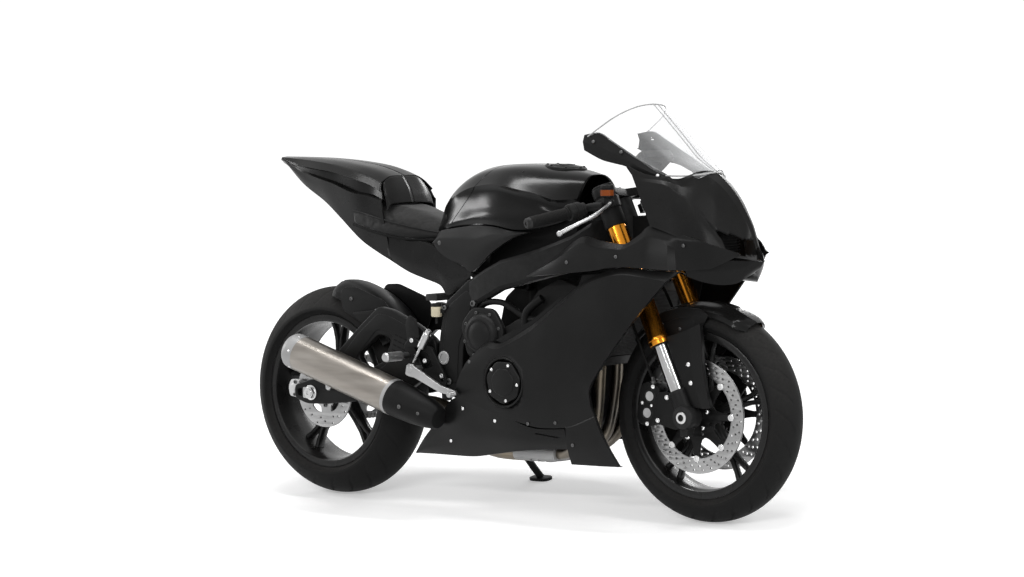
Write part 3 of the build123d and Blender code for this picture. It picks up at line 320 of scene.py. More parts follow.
finishes = {
    "tyre_rubber": finish(0.0071, 0.0118, (0.55, 0.75), (1400, 0.0003), 0.1, 0.09, dust=0.5),
    "rim_black": finish(0.005, 0.0071, (0.2, 0.34), (600, 0.00004), 0.2, 0.25, dust=0.25, specular=0.18),
    "disc_steel": finish(0.27, 0.36, (0.26, 0.4), (900, 0.00006), 0.1, 0.8, metal=1.0),
    "carrier_black": finish(0.0067, 0.0101, (0.35, 0.5), (1200, 0.00006), 0.3, 0.3, metal=0.3),
    "sprocket_steel": finish(0.22, 0.3, (0.35, 0.5), (900, 0.0001), 0.4, 0.6, metal=1.0),
    "chain_steel": finish(grey(0.16, (1, 0.96, 0.9)), 0.26, (0.35, 0.55), (800, 0.0001), 0.5, 0.5, metal=0.9),
    "gold_alloy": finish((0.5, 0.19, 0.016, 1), (0.6, 0.24, 0.026, 1), (0.18, 0.27), (1500, 0.00003), 0.05,
                         (0.9, 0.7, 0.4, 1), metal=1.0),
    "chrome_tube": finish(0.34, 0.42, (0.06, 0.12), (1500, 0.00001), 0.0, 0.8, metal=1.0),
    "cast_black": finish(0.0067, 0.0101, (0.38, 0.52), (700, 0.0002), 0.25, 0.2, specular=0.11),
    "clamp_black": finish(0.0076, 0.0109, (0.32, 0.45), (900, 0.0001), 0.3, 0.3, metal=0.2),
    "bar_black": finish(0.0059, 0.0084, (0.3, 0.42), (900, 0.00006), 0.3, 0.3),
    "grip_rubber": finish(0.0059, 0.0092, (0.6, 0.75), (1100, 0.0003), 0.1, 0.06, dust=0.2),
    "control_black": finish(0.0059, 0.0084, (0.42, 0.56), (1500, 0.00015), 0.2, 0.1),
    "lever_black": finish(0.3, 0.36, (0.3, 0.4), (900, 0.00005), 0.3, 0.6, metal=1.0),
    "caliper_black": finish(0.0063, 0.0092, (0.34, 0.48), (800, 0.0002), 0.3, 0.22),
    "hose_black": finish(0.0046, 0.0076, (0.45, 0.6), (1600, 0.0001), 0.0, 0.05),
    "guard_black": finish(0.0046, 0.0063, (0.14, 0.24), (500, 0.00003), 0.1, 0.15, dust=0.12, specular=0.11),
    "frame_black": finish(0.0059, 0.0084, (0.34, 0.46), (800, 0.00012), 0.2, 0.2, specular=0.11),
    "swingarm_black": finish(0.0063, 0.0092, (0.36, 0.5), (800, 0.00012), 0.2, 0.2, specular=0.11),
    "axle_steel": finish(0.5, 0.62, (0.24, 0.36), (900, 0.00005), 0.2, 0.8, metal=1.0),
    "caliper_silver": finish(0.42, 0.52, (0.4, 0.55), (700, 0.0003), 0.3, 0.7, metal=0.8),
    "shock_dark": finish(0.0126, 0.05, (0.3, 0.45), (800, 0.0001), 0.2, 0.2),
    "engine_dark": finish(0.0076, 0.0126, (0.5, 0.68), (450, 0.0005), 0.3, 0.14, dust=0.25),
    "cover_black": finish(0.0071, 0.0101, (0.36, 0.5), (700, 0.0002), 0.3, 0.16, specular=0.11),
    "radiator_dark": finish(0.05, 0.08, (0.4, 0.55), (900, 0.0001), 0.2, 0.25, metal=0.6, dust=0.2),
    "header_steel": finish(grey(0.12, (1, 0.95, 0.88)), (0.2, 0.17, 0.13, 1), (0.28, 0.45), (500, 0.0001), 0.2,
                           0.4, metal=1.0),
    "silencer_titanium": finish((0.2, 0.183, 0.163, 1), (0.29, 0.27, 0.245, 1), (0.3, 0.42), (230, 0.00012),
                                0.1, 0.75, pattern="brushed", metal=1.0),
    "shroud_black": finish(0.0067, 0.0092, (0.42, 0.56), (900, 0.0002), 0.15, 0.1),
    "alloy_silver": finish(0.32, 0.43, (0.28, 0.42), (900, 0.0001), 0.3, 0.85, metal=1.0),
    "plate_black": finish(0.0059, 0.0084, (0.34, 0.46), (900, 0.0001), 0.3, 0.25),
    "cup_beige": finish((0.56, 0.49, 0.35, 1), (0.66, 0.6, 0.45, 1), (0.3, 0.42), (700, 0.0001), 0.0, 0.6),
    "tank_black": finish(0.0042, 0.0055, (0.12, 0.2), (420, 0.00002), 0.05, 0.1, dust=0.08, specular=0.11),
    "cover_satin": finish(0.0059, 0.0076, (0.4, 0.52), (1300, 0.00016), 0.1, 0.08, specular=0.11),
    "seat_vinyl": finish(0.0084, 0.0118, (0.46, 0.6), (400, 0.00035), 0.05, 0.06, pattern="hide", dust=0.2,
                         sheen=0.15),
    "tail_black": finish(0.0046, 0.0063, (0.22, 0.34), (500, 0.00004), 0.1, 0.12, dust=0.12, specular=0.11),
    "fairing_black": finish(0.0055, 0.0071, (0.3, 0.4), (500, 0.00004), 0.06, 0.12, dust=0.1, specular=0.11),
    "inner_black": finish(0.0042, 0.0059, (0.55, 0.7), (1500, 0.0002), 0.05, 0.05),
    "cowl_black": finish(0.005, 0.0067, (0.24, 0.34), (500, 0.00003), 0.06, 0.12, dust=0.1, specular=0.11),
    "surround_black": finish(0.0084, 0.0109, (0.4, 0.52), (1500, 0.00015), 0.1, 0.1),
    "dash_black": finish(0.0059, 0.0084, (0.4, 0.55), (1500, 0.0002), 0.1, 0.1),
    # also the dark fill painted as shade into the silencer's bore and the swingarm's slots
    "duct_black": finish(0.0034, 0.005, (0.6, 0.75), (1500, 0.0002), 0.0, 0.05),
    "stand_black": finish(0.0076, 0.0109, (0.4, 0.55), (800, 0.0001), 0.4, 0.3),
    "bolt_silver": finish(0.6, 0.72, (0.2, 0.32), (1500, 0.00003), 0.2, 0.9, metal=1.0),
    "bolt_dark": finish(0.05, 0.09, (0.3, 0.45), (1500, 0.00003), 0.5, 0.4, metal=0.7),
    "amber_fluid": finish((0.16, 0.035, 0.008, 1), (0.22, 0.055, 0.014, 1), (0.15, 0.25), (900, 0.00003), 0.0,
                          0.3),
    # the tail tip's own grey, also used for the painted highlight lines on the screen
    "tip_grey_and_screen_glint": finish(0.36, 0.44, (0.35, 0.45), (900, 0.00008), 0.1, 0.6),
    "seam_thread": finish(0.0126, 0.045, (0.6, 0.75), (2200, 0.0003), 0.0, 0.06),
    "fin_grey": finish(0.07, 0.11, (0.4, 0.5), (900, 0.00005), 0.2, 0.3, metal=0.8),
    "cast_grey": finish(0.26, 0.34, (0.42, 0.58), (420, 0.0004), 0.2, 0.5, metal=0.7),
}


settled = {"strength": 0.4, "colour": (0.16, 0.15, 0.14, 1)}   # the dust


def makeFinish(name, look):
    material = bpy.data.materials.new(name)
    material.use_nodes = True
    tree = material.node_tree
    shade = tree.nodes["Principled BSDF"]
    scale, depth = look["relief"]
    surface = useEffect(tree, look.get("pattern", "grain"), Scale=scale)
    height, patches = surface.outputs[0], surface.outputs[1]
    colour = mixColours(tree, spread(tree, patches, 0.0, 1.0), look["base"], look["other"])
    worn = useEffect(tree, "wear")
    wornMask = mathNode(tree, "MULTIPLY", worn.outputs["Mask"], look["wear"])
    colour = mixColours(tree, wornMask, colour, look["worn"])
    if look.get("dust"):
        dust = useEffect(tree, "dust", Amount=look["dust"])
        dusty = mathNode(tree, "MULTIPLY", dust.outputs["Mask"], settled["strength"])
        colour = mixColours(tree, dusty, colour, settled["colour"])
    bump = tree.nodes.new("ShaderNodeBump")
    bump.inputs["Strength"].default_value = 0.6
    bump.inputs["Distance"].default_value = depth
    linkNodes(tree, (colour, shade.inputs["Base Color"]), (height, bump.inputs["Height"]),
              (bump.outputs["Normal"], shade.inputs["Normal"]),
              (spread(tree, patches, *look["rough"]), shade.inputs["Roughness"]))
    for socketName, key, usual in (("Metallic", "metal", 0.0), ("Specular IOR Level", "specular", 0.09),
                                   ("Sheen Weight", "sheen", 0.0)):
        shade.inputs[socketName].default_value = look.get(key, usual)
    return material


looks = {name: makeFinish(name, look) for name, look in finishes.items()}


def makeScreenGlass():
    # clear acrylic, drawn more opaque and greyer where it is seen edge on as a painted reflection, with faint
    # rubbed haze
    material = bpy.data.materials.new("screen_clear")
    material.use_nodes = True
    tree = material.node_tree
    shade = tree.nodes["Principled BSDF"]
    shade.inputs["Base Color"].default_value = (0.93, 0.94, 0.95, 1)
    shade.inputs["IOR"].default_value = 1.3
    rim = tree.nodes.new("ShaderNodeLayerWeight")
    rim.inputs["Blend"].default_value = 0.28
    grain = useEffect(tree, "grain", Scale=60.0, Blotch_scale=4.0)
    haze = spread(tree, grain.outputs["Blotches"], 0.02, 0.06)
    # painted reflection: the opacity of the pale base colour rises towards grazing angles
    edge = mathNode(tree, "MULTIPLY", rim.outputs["Facing"], 0.62)
    linkNodes(tree, (mathNode(tree, "ADD", edge, haze, clamp=True), shade.inputs["Alpha"]),
              (spread(tree, grain.outputs["Blotches"], 0.03, 0.1), shade.inputs["Roughness"]))
    return material


looks["screen_clear"] = makeScreenGlass()
slotOf = {part["node"]: part["material_slot"] for part in frame["record"]["subparts"]}
for nodeName, nodeObject in frame["nodes"].items():
    nodeObject.data.materials.clear()
    nodeObject.data.materials.append(looks[slotOf[nodeName]])
print("finishes made:", len(looks))


# shaping helpers
def evenTurns(count, start=0.0):
    # angles round a full circle
    return [start + 2 * pi * step / count for step in range(count)]


def onRing(centre, reach, turn, depth=0.0):
    # a point round centre in the side view, depth to its left
    return centre + Vector((reach * cos(turn), depth, reach * sin(turn)))


def smoothLine(points, steps):
    # an even curve through tuples of any length
    stations = [points[0], *points, points[-1]]
    line = []
    for before, here, after, beyond in zip(stations, stations[1:], stations[2:], stations[3:]):
        for step in range(steps):
            t = step / steps
            line.append(tuple(0.5 * (2 * b + (c - a) * t + (2 * a - 5 * b + 4 * c - d) * t * t
                                     + (3 * b - a - 3 * c + d) * t ** 3)
                              for a, b, c, d in zip(before, here, after, beyond)))
    line.append(tuple(points[-1]))
    return line


def smoothAlong(rows, steps):
    # smooths a table of points from row to row
    columns = [smoothLine([row[place] for row in rows], steps) for place in range(len(rows[0]))]
    return [list(row) for row in zip(*columns)]


def addRings(bm, rings, closed=True, ringed=False):
    # ringed joins the last ring to the first, otherwise closed rings get end faces
    rows = [[bm.verts.new(point) for point in ring] for ring in rings]
    for first, second in zip(rows, rows[1:] + rows[:1] if ringed else rows[1:]):
        for place in range(len(first) if closed else len(first) - 1):
            beside = (place + 1) % len(first)
            bm.faces.new((first[place], first[beside], second[beside], second[place]))
    if closed and not ringed:
        bm.faces.new(list(reversed(rows[0])))
        bm.faces.new(rows[-1])


def axisMatrix(origin, direction, ahead=None):
    # local z along direction, local x as near as possible to ahead
    z = Vector(direction).normalized()
    guide = Vector(ahead) if ahead is not None else (Vector((1, 0, 0)) if abs(z.x) < 0.9 else Vector((0, 0, 1)))
    x = (guide - z * guide.dot(z)).normalized()
    y = z.cross(x)
    matrix = Matrix((x, y, z)).transposed().to_4x4()
    matrix.translation = Vector(origin)
    return matrix


def addLathe(bm, profile, origin, direction, sides=48, ringed=False, cut=None):
    # profile of (along, radius) turned about direction; ringed joins its last point to its first
    matrix = axisMatrix(origin, direction)
    rings = []
    for along, radius in profile:
        ring = []
        for side, angle in enumerate(evenTurns(sides)):
            # a hexagon's flats inside a bolt's head
            reach = radius * (0.866 if cut and side % 2 and (along, radius) in cut else 1.0)
            ring.append(matrix @ Vector((reach * cos(angle), reach * sin(angle), along)))
        rings.append(ring)
    addRings(bm, rings, ringed=ringed)


def addSweep(bm, path, radius=None, sides=16, steps=6, flat=1.0, upright=upward):
    # a round or flattened bar through path; a fourth number at a point is its radius there
    points = [point if len(point) == 4 else (*point, radius) for point in path]
    line = smoothLine(points, steps)
    rings = []
    for place, point in enumerate(line):
        before = Vector(line[max(place - 1, 0)][:3])
        after = Vector(line[min(place + 1, len(line) - 1)][:3])
        matrix = axisMatrix(point[:3], after - before, upright)
        rings.append([matrix @ Vector((point[3] * cos(turn), flat * point[3] * sin(turn), 0))
                      for turn in evenTurns(sides)])
    addRings(bm, rings)


def roundedOutline(points, radius, steps=4):
    # flat outline with its corners rounded; a third number at a point is its own radius
    outline = []
    count = len(points)
    for place in range(count):
        here = Vector(points[place][:2])
        before, after = Vector(points[place - 1][:2]), Vector(points[(place + 1) % count][:2])
        own = points[place][2] if len(points[place]) > 2 else radius
        toBefore, toAfter = before - here, after - here
        reach = min(own, 0.45 * toBefore.length, 0.45 * toAfter.length)
        if reach < 0.01:
            outline.append(here)
            continue
        start, end = here + toBefore.normalized() * reach, here + toAfter.normalized() * reach
        for step in range(steps + 1):
            t = step / steps
            outline.append(start * (1 - t) ** 2 + here * 2 * t * (1 - t) + end * t ** 2)
    return outline


def circleLoop(centre, radius, sides=20):
    return [Vector((centre[0] + radius * cos(turn),
                    centre[1] + radius * sin(turn))) for turn in evenTurns(sides)]


def windowLoop(turn, corners, radius):
    # a rounded window in a disc, from the reach and turn of each corner
    return roundedOutline([(reach * cos(turn + shift), reach * sin(turn + shift)) for reach, shift in corners],
                          radius)


def bluntLoop(half, tall, power, sides=32):
    # between an oval and a rectangle
    return [(half * abs(cos(turn)) ** power * (1 if cos(turn) > 0 else -1),
             tall * abs(sin(turn)) ** power * (1 if sin(turn) > 0 else -1)) for turn in evenTurns(sides)]


def addPlate(bm, loops, thickness, matrix, edge=0.8, rounds=1):
    # a plate with holes and eased edges, from local z 0 to thickness
    curve = bpy.data.curves.new("plateOutline", "CURVE")
    curve.dimensions = "2D"
    curve.fill_mode = "BOTH"
    curve.extrude = thickness / 2 - edge
    curve.bevel_depth = edge
    curve.bevel_resolution = rounds
    curve.offset = -edge
    for loop in loops:
        spline = curve.splines.new("POLY")
        spline.points.add(len(loop) - 1)
        for point, place in zip(spline.points, loop):
            point.co = (place[0], place[1], 0, 1)
        spline.use_cyclic_u = True
    outline = bpy.data.objects.new("plateOutline", curve)
    mesh = bpy.data.meshes.new_from_object(outline)
    mesh.transform(matrix @ Matrix.Translation((0, 0, thickness / 2)))
    part = bmesh.new()
    part.from_mesh(mesh)
    bmesh.ops.remove_doubles(part, verts=part.verts, dist=0.02)
    bmesh.ops.recalc_face_normals(part, faces=part.faces)
    part.to_mesh(mesh)
    part.free()
    bm.from_mesh(mesh)
    bpy.data.objects.remove(outline)
    bpy.data.curves.remove(curve)
    bpy.data.meshes.remove(mesh)


def rightMatrix(depth, centre=(0, 0), turn=0.0):
    # local x ahead and y up, local z out to the right, depth to the right of the middle
    ahead = Vector((cos(radians(turn)), 0, sin(radians(turn))))
    return axisMatrix((centre[0], -depth, centre[1]), toRight, ahead)


def addBlock(bm, outline, inner, outer, radius=6, edge=2.5, rounds=2, centre=(0, 0), turn=0.0, holes=()):
    # a slab with a rounded side outline, from inner to outer to the right of the middle
    loops = [roundedOutline(outline, radius), *holes]
    addPlate(bm, loops, outer - inner, rightMatrix(inner, centre, turn), edge=edge, rounds=rounds)


def addBolt(bm, place, direction=toRight, radius=5.0, height=5.0, kind="socket"):
    if kind == "dome":
        profile = [(-1, radius), (height * 0.3, radius), (height * 0.7, radius * 0.8), (height, radius * 0.45)]
        addLathe(bm, profile, place, direction, 16)
        return
    if kind == "hex":
        matrix = axisMatrix(place, direction)
        washer = [(-1, radius * 1.25), (1, radius * 1.25), (1.2, radius * 1.0)]
        addLathe(bm, washer, place, direction, 18)
        rings = [[matrix @ Vector((reach * cos(turn), reach * sin(turn), along)) for turn in evenTurns(6)]
                 for along, reach in ((1, radius), (height * 0.85, radius), (height, radius * 0.86))]
        addRings(bm, rings)
        return
    hollow = radius * 0.55
    profile = [(-1, radius * 0.9), (0, radius), (height * 0.82, radius), (height, radius * 0.86),
               (height, hollow), (height * 0.4, hollow)]
    addLathe(bm, profile, place, direction, 12, cut={(height, hollow), (height * 0.4, hollow)})


def mirrorAll(bm):
    twin = bmesh.ops.duplicate(bm, geom=list(bm.verts) + list(bm.edges) + list(bm.faces))["geom"]
    verts = [part for part in twin if isinstance(part, bmesh.types.BMVert)]
    faces = [part for part in twin if isinstance(part, bmesh.types.BMFace)]
    for vert in verts:
        vert.co.y = -vert.co.y
    bmesh.ops.reverse_faces(bm, faces=faces)


def makePiece(name, bm, slotName, body="chassis", look=None, replaced=(), both=False, angle=34, shell=0.0,
              edge=0.0):
    # both mirrors it to the left; shell thickens a sheet inwards and edge eases its corners, in millimetres
    if both:
        mirrorAll(bm)
    bmesh.ops.recalc_face_normals(bm, faces=bm.faces)
    mesh = bpy.data.meshes.new(name)
    bm.to_mesh(mesh)
    bm.free()
    mesh.transform(bikeToRow)
    mesh.materials.append(looks[look or slotName])
    mesh.shade_smooth()
    mesh.set_sharp_from_angle(angle=radians(angle))
    made = bpy.data.objects.new(name, mesh)
    bpy.context.scene.collection.objects.link(made)
    if shell:
        thicken = made.modifiers.new("shell", "SOLIDIFY")
        thicken.thickness = shell / 1000
        thicken.offset = -1
        thicken.use_quality_normals = True
    if edge:
        ease = made.modifiers.new("easedEdges", "BEVEL")
        ease.width = edge / 1000
        ease.segments = 2
        ease.limit_method = "ANGLE"
        ease.angle_limit = radians(40)
        ease.harden_normals = True
    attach(made, body)
    if replaced:
        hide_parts(*replaced)
    return made


def makeBolts(name, places, slotName, body="chassis", look="bolt_dark", direction=toRight, radius=5.0,
              height=2.4, kind="dome"):
    # the same bolt at each place on the right and on the left
    bm = bmesh.new()
    for place in places:
        addBolt(bm, Vector(place), direction, radius, height, kind)
    makePiece(name, bm, slotName, body, look=look, both=True)


# body panels: rows of (x, half width, z) from edge to edge, smoothed both ways
def addPanel(bm, rows, along=6, down=5, keen=(), side=-1.0, lips=(0, 0, 0, 0)):
    # keen lists the columns where the panel keeps a crease, side is -1 for the right and 1 for the left,
    # and lips are how far its start, end, first and last edges roll in
    grid = []
    for row in smoothAlong(rows, along):
        line = []
        stops = [0, *[place for place in keen if 0 < place < len(row) - 1], len(row) - 1]
        for first, last in zip(stops, stops[1:]):
            stretch = smoothLine(row[first:last + 1], down)
            line += stretch if not line else stretch[1:]
        grid.append(line)
    startLip, endLip, firstLip, lastLip = lips

    def rolled(edgePoint, innerPoint, reach):
        edgeVector, innerVector = Vector(edgePoint), Vector(innerPoint)
        outward = (edgeVector - innerVector).normalized()
        return tuple(edgeVector + outward * reach * 0.1 + toRight * reach)

    if firstLip:
        grid = [[rolled(line[0], line[1], firstLip), *line] for line in grid]
    if lastLip:
        grid = [[*line, rolled(line[-1], line[-2], lastLip)] for line in grid]
    if startLip:
        grid = [[rolled(a, b, startLip) for a, b in zip(grid[0], grid[1])], *grid]
    if endLip:
        grid = [*grid, [rolled(a, b, endLip) for a, b in zip(grid[-1], grid[-2])]]
    rings = [[Vector((x, side * half, z)) for x, half, z in line] for line in grid]
    addRings(bm, rings, closed=False)


def addGroove(bm, through, normal, width=2.4, depth=1.6, where=None):
    # a panel joint cut across the mesh along a plane
    origin, way = Vector(through), Vector(normal).normalized()

    def chosen():
        faces = [face for face in bm.faces if where is None or where(face.calc_center_median())]
        edges = {edge for face in faces for edge in face.edges}
        verts = {vert for face in faces for vert in face.verts}
        return list(verts) + list(edges) + faces

    bm.normal_update()
    middle = []
    for offset in (-width / 2, width / 2, 0.0):
        cut = bmesh.ops.bisect_plane(bm, geom=chosen(), plane_co=origin + way * offset, plane_no=way, dist=0.01)
        middle = [part for part in cut["geom_cut"] if isinstance(part, bmesh.types.BMVert)]
    bm.normal_update()
    for vert in middle:
        vert.co -= vert.normal * depth


print("helpers ready")

# wheels: tyres with slanted grooves, rims whose spokes fork near the rim
tyres = {
    # radius, half width, shoulder drop and half width at the rim as the tyres are sold
    "front": dict(hub=frontHub, radius=300.0, half=60.0, drop=45.0, bead=44.5, hubHalf=57.5, depth=15.0,
                  grooves=26),
    "rear": dict(hub=rearHub, radius=315.0, half=90.0, drop=62.0, bead=70.0, hubHalf=77.5, depth=22.0,
                 grooves=24),
    "beadSeat": 219.0,
    "flangeTop": 232.0,
    "grooveDepth": 2.2,
    "grooveHalf": 2.1,
    "cuts": ((0.0, 0.16, 0.62, 0.75), (0.45, 0.48, 0.93, 0.55)),   # start in the pitch, from, to, slant
}


def grooveDepthAt(turn, across, size):
    # two slanted cuts on each shoulder in every pitch, the right side's half a pitch on
    pitch = 2 * pi / size["grooves"]
    deepest = 0.0
    for start, low, high, slant in tyres["cuts"]:
        share = abs(across)
        if not low < share < high:
            continue
        middle = (start + (0.5 if across < 0 else 0.0)) * pitch + slant * pitch * (share - low) / (high - low)
        away = (turn - middle + pitch / 2) % pitch - pitch / 2
        taper = min(1.0, (share - low) / 0.06, (high - share) / 0.06)
        reach = tyres["grooveHalf"] * (1.0 + share)
        deepest = max(deepest, taper * max(0.0, 1.0 - (abs(away) * size["radius"] / reach) ** 4))
    return deepest * tyres["grooveDepth"]


def tyreSection(size):
    # crown arc from shoulder to shoulder, then the side wall's swell and the bead
    half, drop, bead, radius = size["half"], size["drop"], size["bead"], size["radius"]
    crown = (half ** 2 + drop ** 2) / (2 * drop)
    limit = atan2(half, crown - drop)
    steps = 30
    points = []
    for step in range(-steps, steps + 1):
        angle = limit * step / steps
        points.append((crown * sin(angle), radius - crown * (1 - cos(angle)), step / steps))
    wall = [(half - 0.7, radius - drop - 7), (half - 3.4, radius - drop - 9.4),
            (bead + 8.2, tyres["flangeTop"] + 8), (bead + 3.4, tyres["flangeTop"] + 2.5),
            (bead - 0.4, tyres["flangeTop"] - 3), (bead - 4, tyres["beadSeat"] + 1.5)]
    right = [(-y, r, None) for y, r in reversed(wall)]
    left = [(y, r, None) for y, r in wall]
    return right + points + left


def makeTyre(name):
    size = tyres[name]
    section = tyreSection(size)
    rings = []
    for turn in evenTurns(size["grooves"] * 20):
        ring = []
        for across, radius, share in section:
            reach = radius - (grooveDepthAt(turn, share, size) if share is not None else 0.0)
            ring.append(onRing(size["hub"], reach, turn, across))
        rings.append(ring)
    bm = bmesh.new()
    addRings(bm, rings, ringed=True)
    makePiece(f"{name}TyreTread", bm, "tyre_rubber", f"{name}_wheel", replaced=[f"{name}_tyre"], angle=40)


rims = {
    "spokes": 5,
    "start": 18.0,
    "valveTurn": 54.0,
    # out along the spoke, off its middle, half width, share of the wheel's spoke depth
    "legs": ((24, 7, 13, 1.0), (60, 6, 9, 0.92), (110, 6, 7.5, 0.8), (150, 8.5, 6.6, 0.74),
             (182, 16, 6.2, 0.72), (208, 25, 7.5, 0.78), (213, 30, 11, 0.9)),
}


def makeRim(name):
    size = tyres[name]
    hub, bead = size["hub"], size["bead"]
    seat, top = tyres["beadSeat"], tyres["flangeTop"]
    edge = bead + 5.0
    bm = bmesh.new()
    half = [(edge - 0.4, top - 1), (edge - 1.2, top), (bead + 1, top), (bead, top - 1), (bead, seat),
            (bead - 12, seat - 4), (16, seat - 5)]
    inner = [(bead - 16, seat - 12), (bead - 6, seat - 8), (edge - 2, seat - 7.8), (edge, seat - 5)]
    outer = [*half, *[(-y, r) for y, r in reversed(half)]]
    under = [(-y, r) for y, r in reversed(inner)] + [(-14, seat - 13), (14, seat - 13)] + inner
    addLathe(bm, outer + under, hub, toLeft, 120, ringed=True)
    # hub with a stepped barrel and a recessed face
    hubHalf = size["hubHalf"]
    barrel = [(-hubHalf, 12.8), (-hubHalf, 27), (-hubHalf + 2, 29), (-hubHalf + 16, 30), (-hubHalf + 20, 37),
              (0, 38), (hubHalf - 20, 37), (hubHalf - 16, 30), (hubHalf - 2, 29), (hubHalf, 27),
              (hubHalf, 12.8)]
    addLathe(bm, barrel, hub, (0, 1, 0), 48, ringed=True)
    # each spoke runs out straight and forks into two legs with a deep hollow between them
    for spoke in range(rims["spokes"]):
        turn = radians(rims["start"] + 360 * spoke / rims["spokes"])
        outward, beside = Vector((cos(turn), 0, sin(turn))), Vector((-sin(turn), 0, cos(turn)))
        for side in (-1, 1):
            rings = []
            for reach, offset, halfWide, share in rims["legs"]:
                halfDeep = size["depth"] * share
                centre = hub + outward * reach + beside * side * offset
                ease = min(3.2, halfWide * 0.45)
                corners = [(halfWide - ease, halfDeep), (halfWide, halfDeep - ease),
                           (halfWide, ease - halfDeep), (halfWide - ease, -halfDeep),
                           (ease - halfWide, -halfDeep), (-halfWide, ease - halfDeep),
                           (-halfWide, halfDeep - ease), (ease - halfWide, halfDeep)]
                rings.append([centre + beside * across + toLeft * deep for across, deep in corners])
            addRings(bm, rings)
    valve = onRing(hub, seat - 12, radians(rims["valveTurn"]))
    addLathe(bm, [(0, 4.6), (14, 4), (15, 3.2), (30, 3.2), (31, 4), (38, 4), (39, 3)], valve, hub - valve, 12)
    makePiece(f"{name}RimSpokes", bm, "rim_black", f"{name}_wheel", replaced=[f"{name}_rim"], angle=50)


for wheelName in ("front", "rear"):
    makeTyre(wheelName)
    makeRim(wheelName)
print("tyres and rims")

# brake discs with rows of holes, carriers and bobbins
brakes = {
    "frontOuter": 160.0,
    "frontInner": 118.0,
    "frontSide": 60.0,
    "rearOuter": 110.0,
    "rearSide": 80.0,
    "wall": 5.0,
    "carrierArms": 8,
    "holeRows": ((0.24, 3.1), (0.5, 3.4), (0.76, 3.1)),
    "caliperTurn": 168.0,   # where the front caliper sits round the wheel, from ahead
}


def drilledRing(outer, inner, groups):
    loops = [circleLoop((0, 0), outer, 96), circleLoop((0, 0), inner, 96)]
    for group in range(groups):
        for place, (share, radius) in enumerate(brakes["holeRows"]):
            for step in range(2):
                turn = 2 * pi * (group + 0.17 * place + 0.5 * step) / groups
                reach = inner + share * (outer - inner)
                loops.append(circleLoop((reach * cos(turn), reach * sin(turn)), radius, 12))
    return loops


def makeFrontDiscs():
    bm = bmesh.new()
    start = brakes["frontSide"] - brakes["wall"] / 2
    addPlate(bm, drilledRing(brakes["frontOuter"] - 0.2, brakes["frontInner"], 16), brakes["wall"],
             rightMatrix(start, (frontHub.x, frontHub.z)), edge=0.4)
    makePiece("frontDiscRings", bm, "disc_steel", "front_wheel", replaced=["front_brake_discs"], both=True)


def makeCarriers():
    # a wavy star: an arm to each bobbin and a rounded notch between the arms
    outline = []
    arms = brakes["carrierArms"]
    for turn in evenTurns(arms):
        for offset, reach in ((-0.30, 66), (-0.17, 78), (-0.085, 104), (-0.075, 117), (0.075, 117),
                              (0.085, 104), (0.17, 78), (0.30, 66)):
            outline.append((reach * cos(turn + offset), reach * sin(turn + offset)))
    loops = [roundedOutline(outline, 9), circleLoop((0, 0), 24, 36)]
    for turn in evenTurns(arms, pi / arms):
        loops.append(circleLoop((52 * cos(turn), 52 * sin(turn)), 5.2, 16))
    bm = bmesh.new()
    addPlate(bm, loops, 5.0, rightMatrix(57.5, (frontHub.x, frontHub.z)), edge=0.7)
    bolts = bmesh.new()
    for turn in evenTurns(arms):
        bobbin = [(-3, 9.5), (1.2, 9.5), (2.4, 8.6), (2.4, 5.2), (0.6, 4.6)]
        addLathe(bolts, bobbin, onRing(frontHub, 118, turn, -62.3), toRight, 20)
    for turn in evenTurns(5, pi / 10):
        addBolt(bolts, onRing(frontHub, 40, turn, -62.3), toRight, 6.5, 5.5, "dome")
    makePiece("carrierStars", bm, "carrier_black", "front_wheel", replaced=["front_disc_carriers"], both=True)
    makePiece("carrierBobbins", bolts, "carrier_black", "front_wheel", look="bolt_silver", both=True)


def makeRearDisc():
    start = brakes["rearSide"] - brakes["wall"] / 2
    loops = [circleLoop((0, 0), brakes["rearOuter"] - 0.2, 96), circleLoop((0, 0), 34, 48)]
    for group in range(10):
        for step, reach, radius in ((0.0, 101, 3.2), (0.5, 92, 3.4), (0.16, 83, 3.2)):
            turn = 2 * pi * (group + step) / 10
            loops.append(circleLoop((reach * cos(turn), reach * sin(turn)), radius, 12))
    for turn in evenTurns(5, 0.4):
        loops.append(windowLoop(turn, ((68, -0.34), (70, 0), (68, 0.34), (50, 0.22), (50, -0.22)), 7))
    bm = bmesh.new()
    addPlate(bm, loops, brakes["wall"], rightMatrix(start, (0, rearHub.z)), edge=0.5)
    makePiece("rearDiscPlate", bm, "disc_steel", "rear_wheel", replaced=["rear_brake_disc"])
    bolts = bmesh.new()
    for turn in evenTurns(5, pi / 5 + 0.4):
        addBolt(bolts, onRing(rearHub, 43, turn, -start - brakes["wall"]), toRight, 6, 5)
    makePiece("rearDiscBolts", bolts, "disc_steel", "rear_wheel", look="bolt_dark")


makeFrontDiscs()
makeCarriers()
makeRearDisc()
print("discs")

# sprocket and chain on the left
drive = {
    "side": 104.0,
    "teeth": 43,
    "sprocket": 92.0,
    "front": (630.0, 335.0),
    "frontRadius": 36.0,
    "plateHalf": 7.4,
    "plateWall": 1.9,
    "linkLength": 15.875,
}


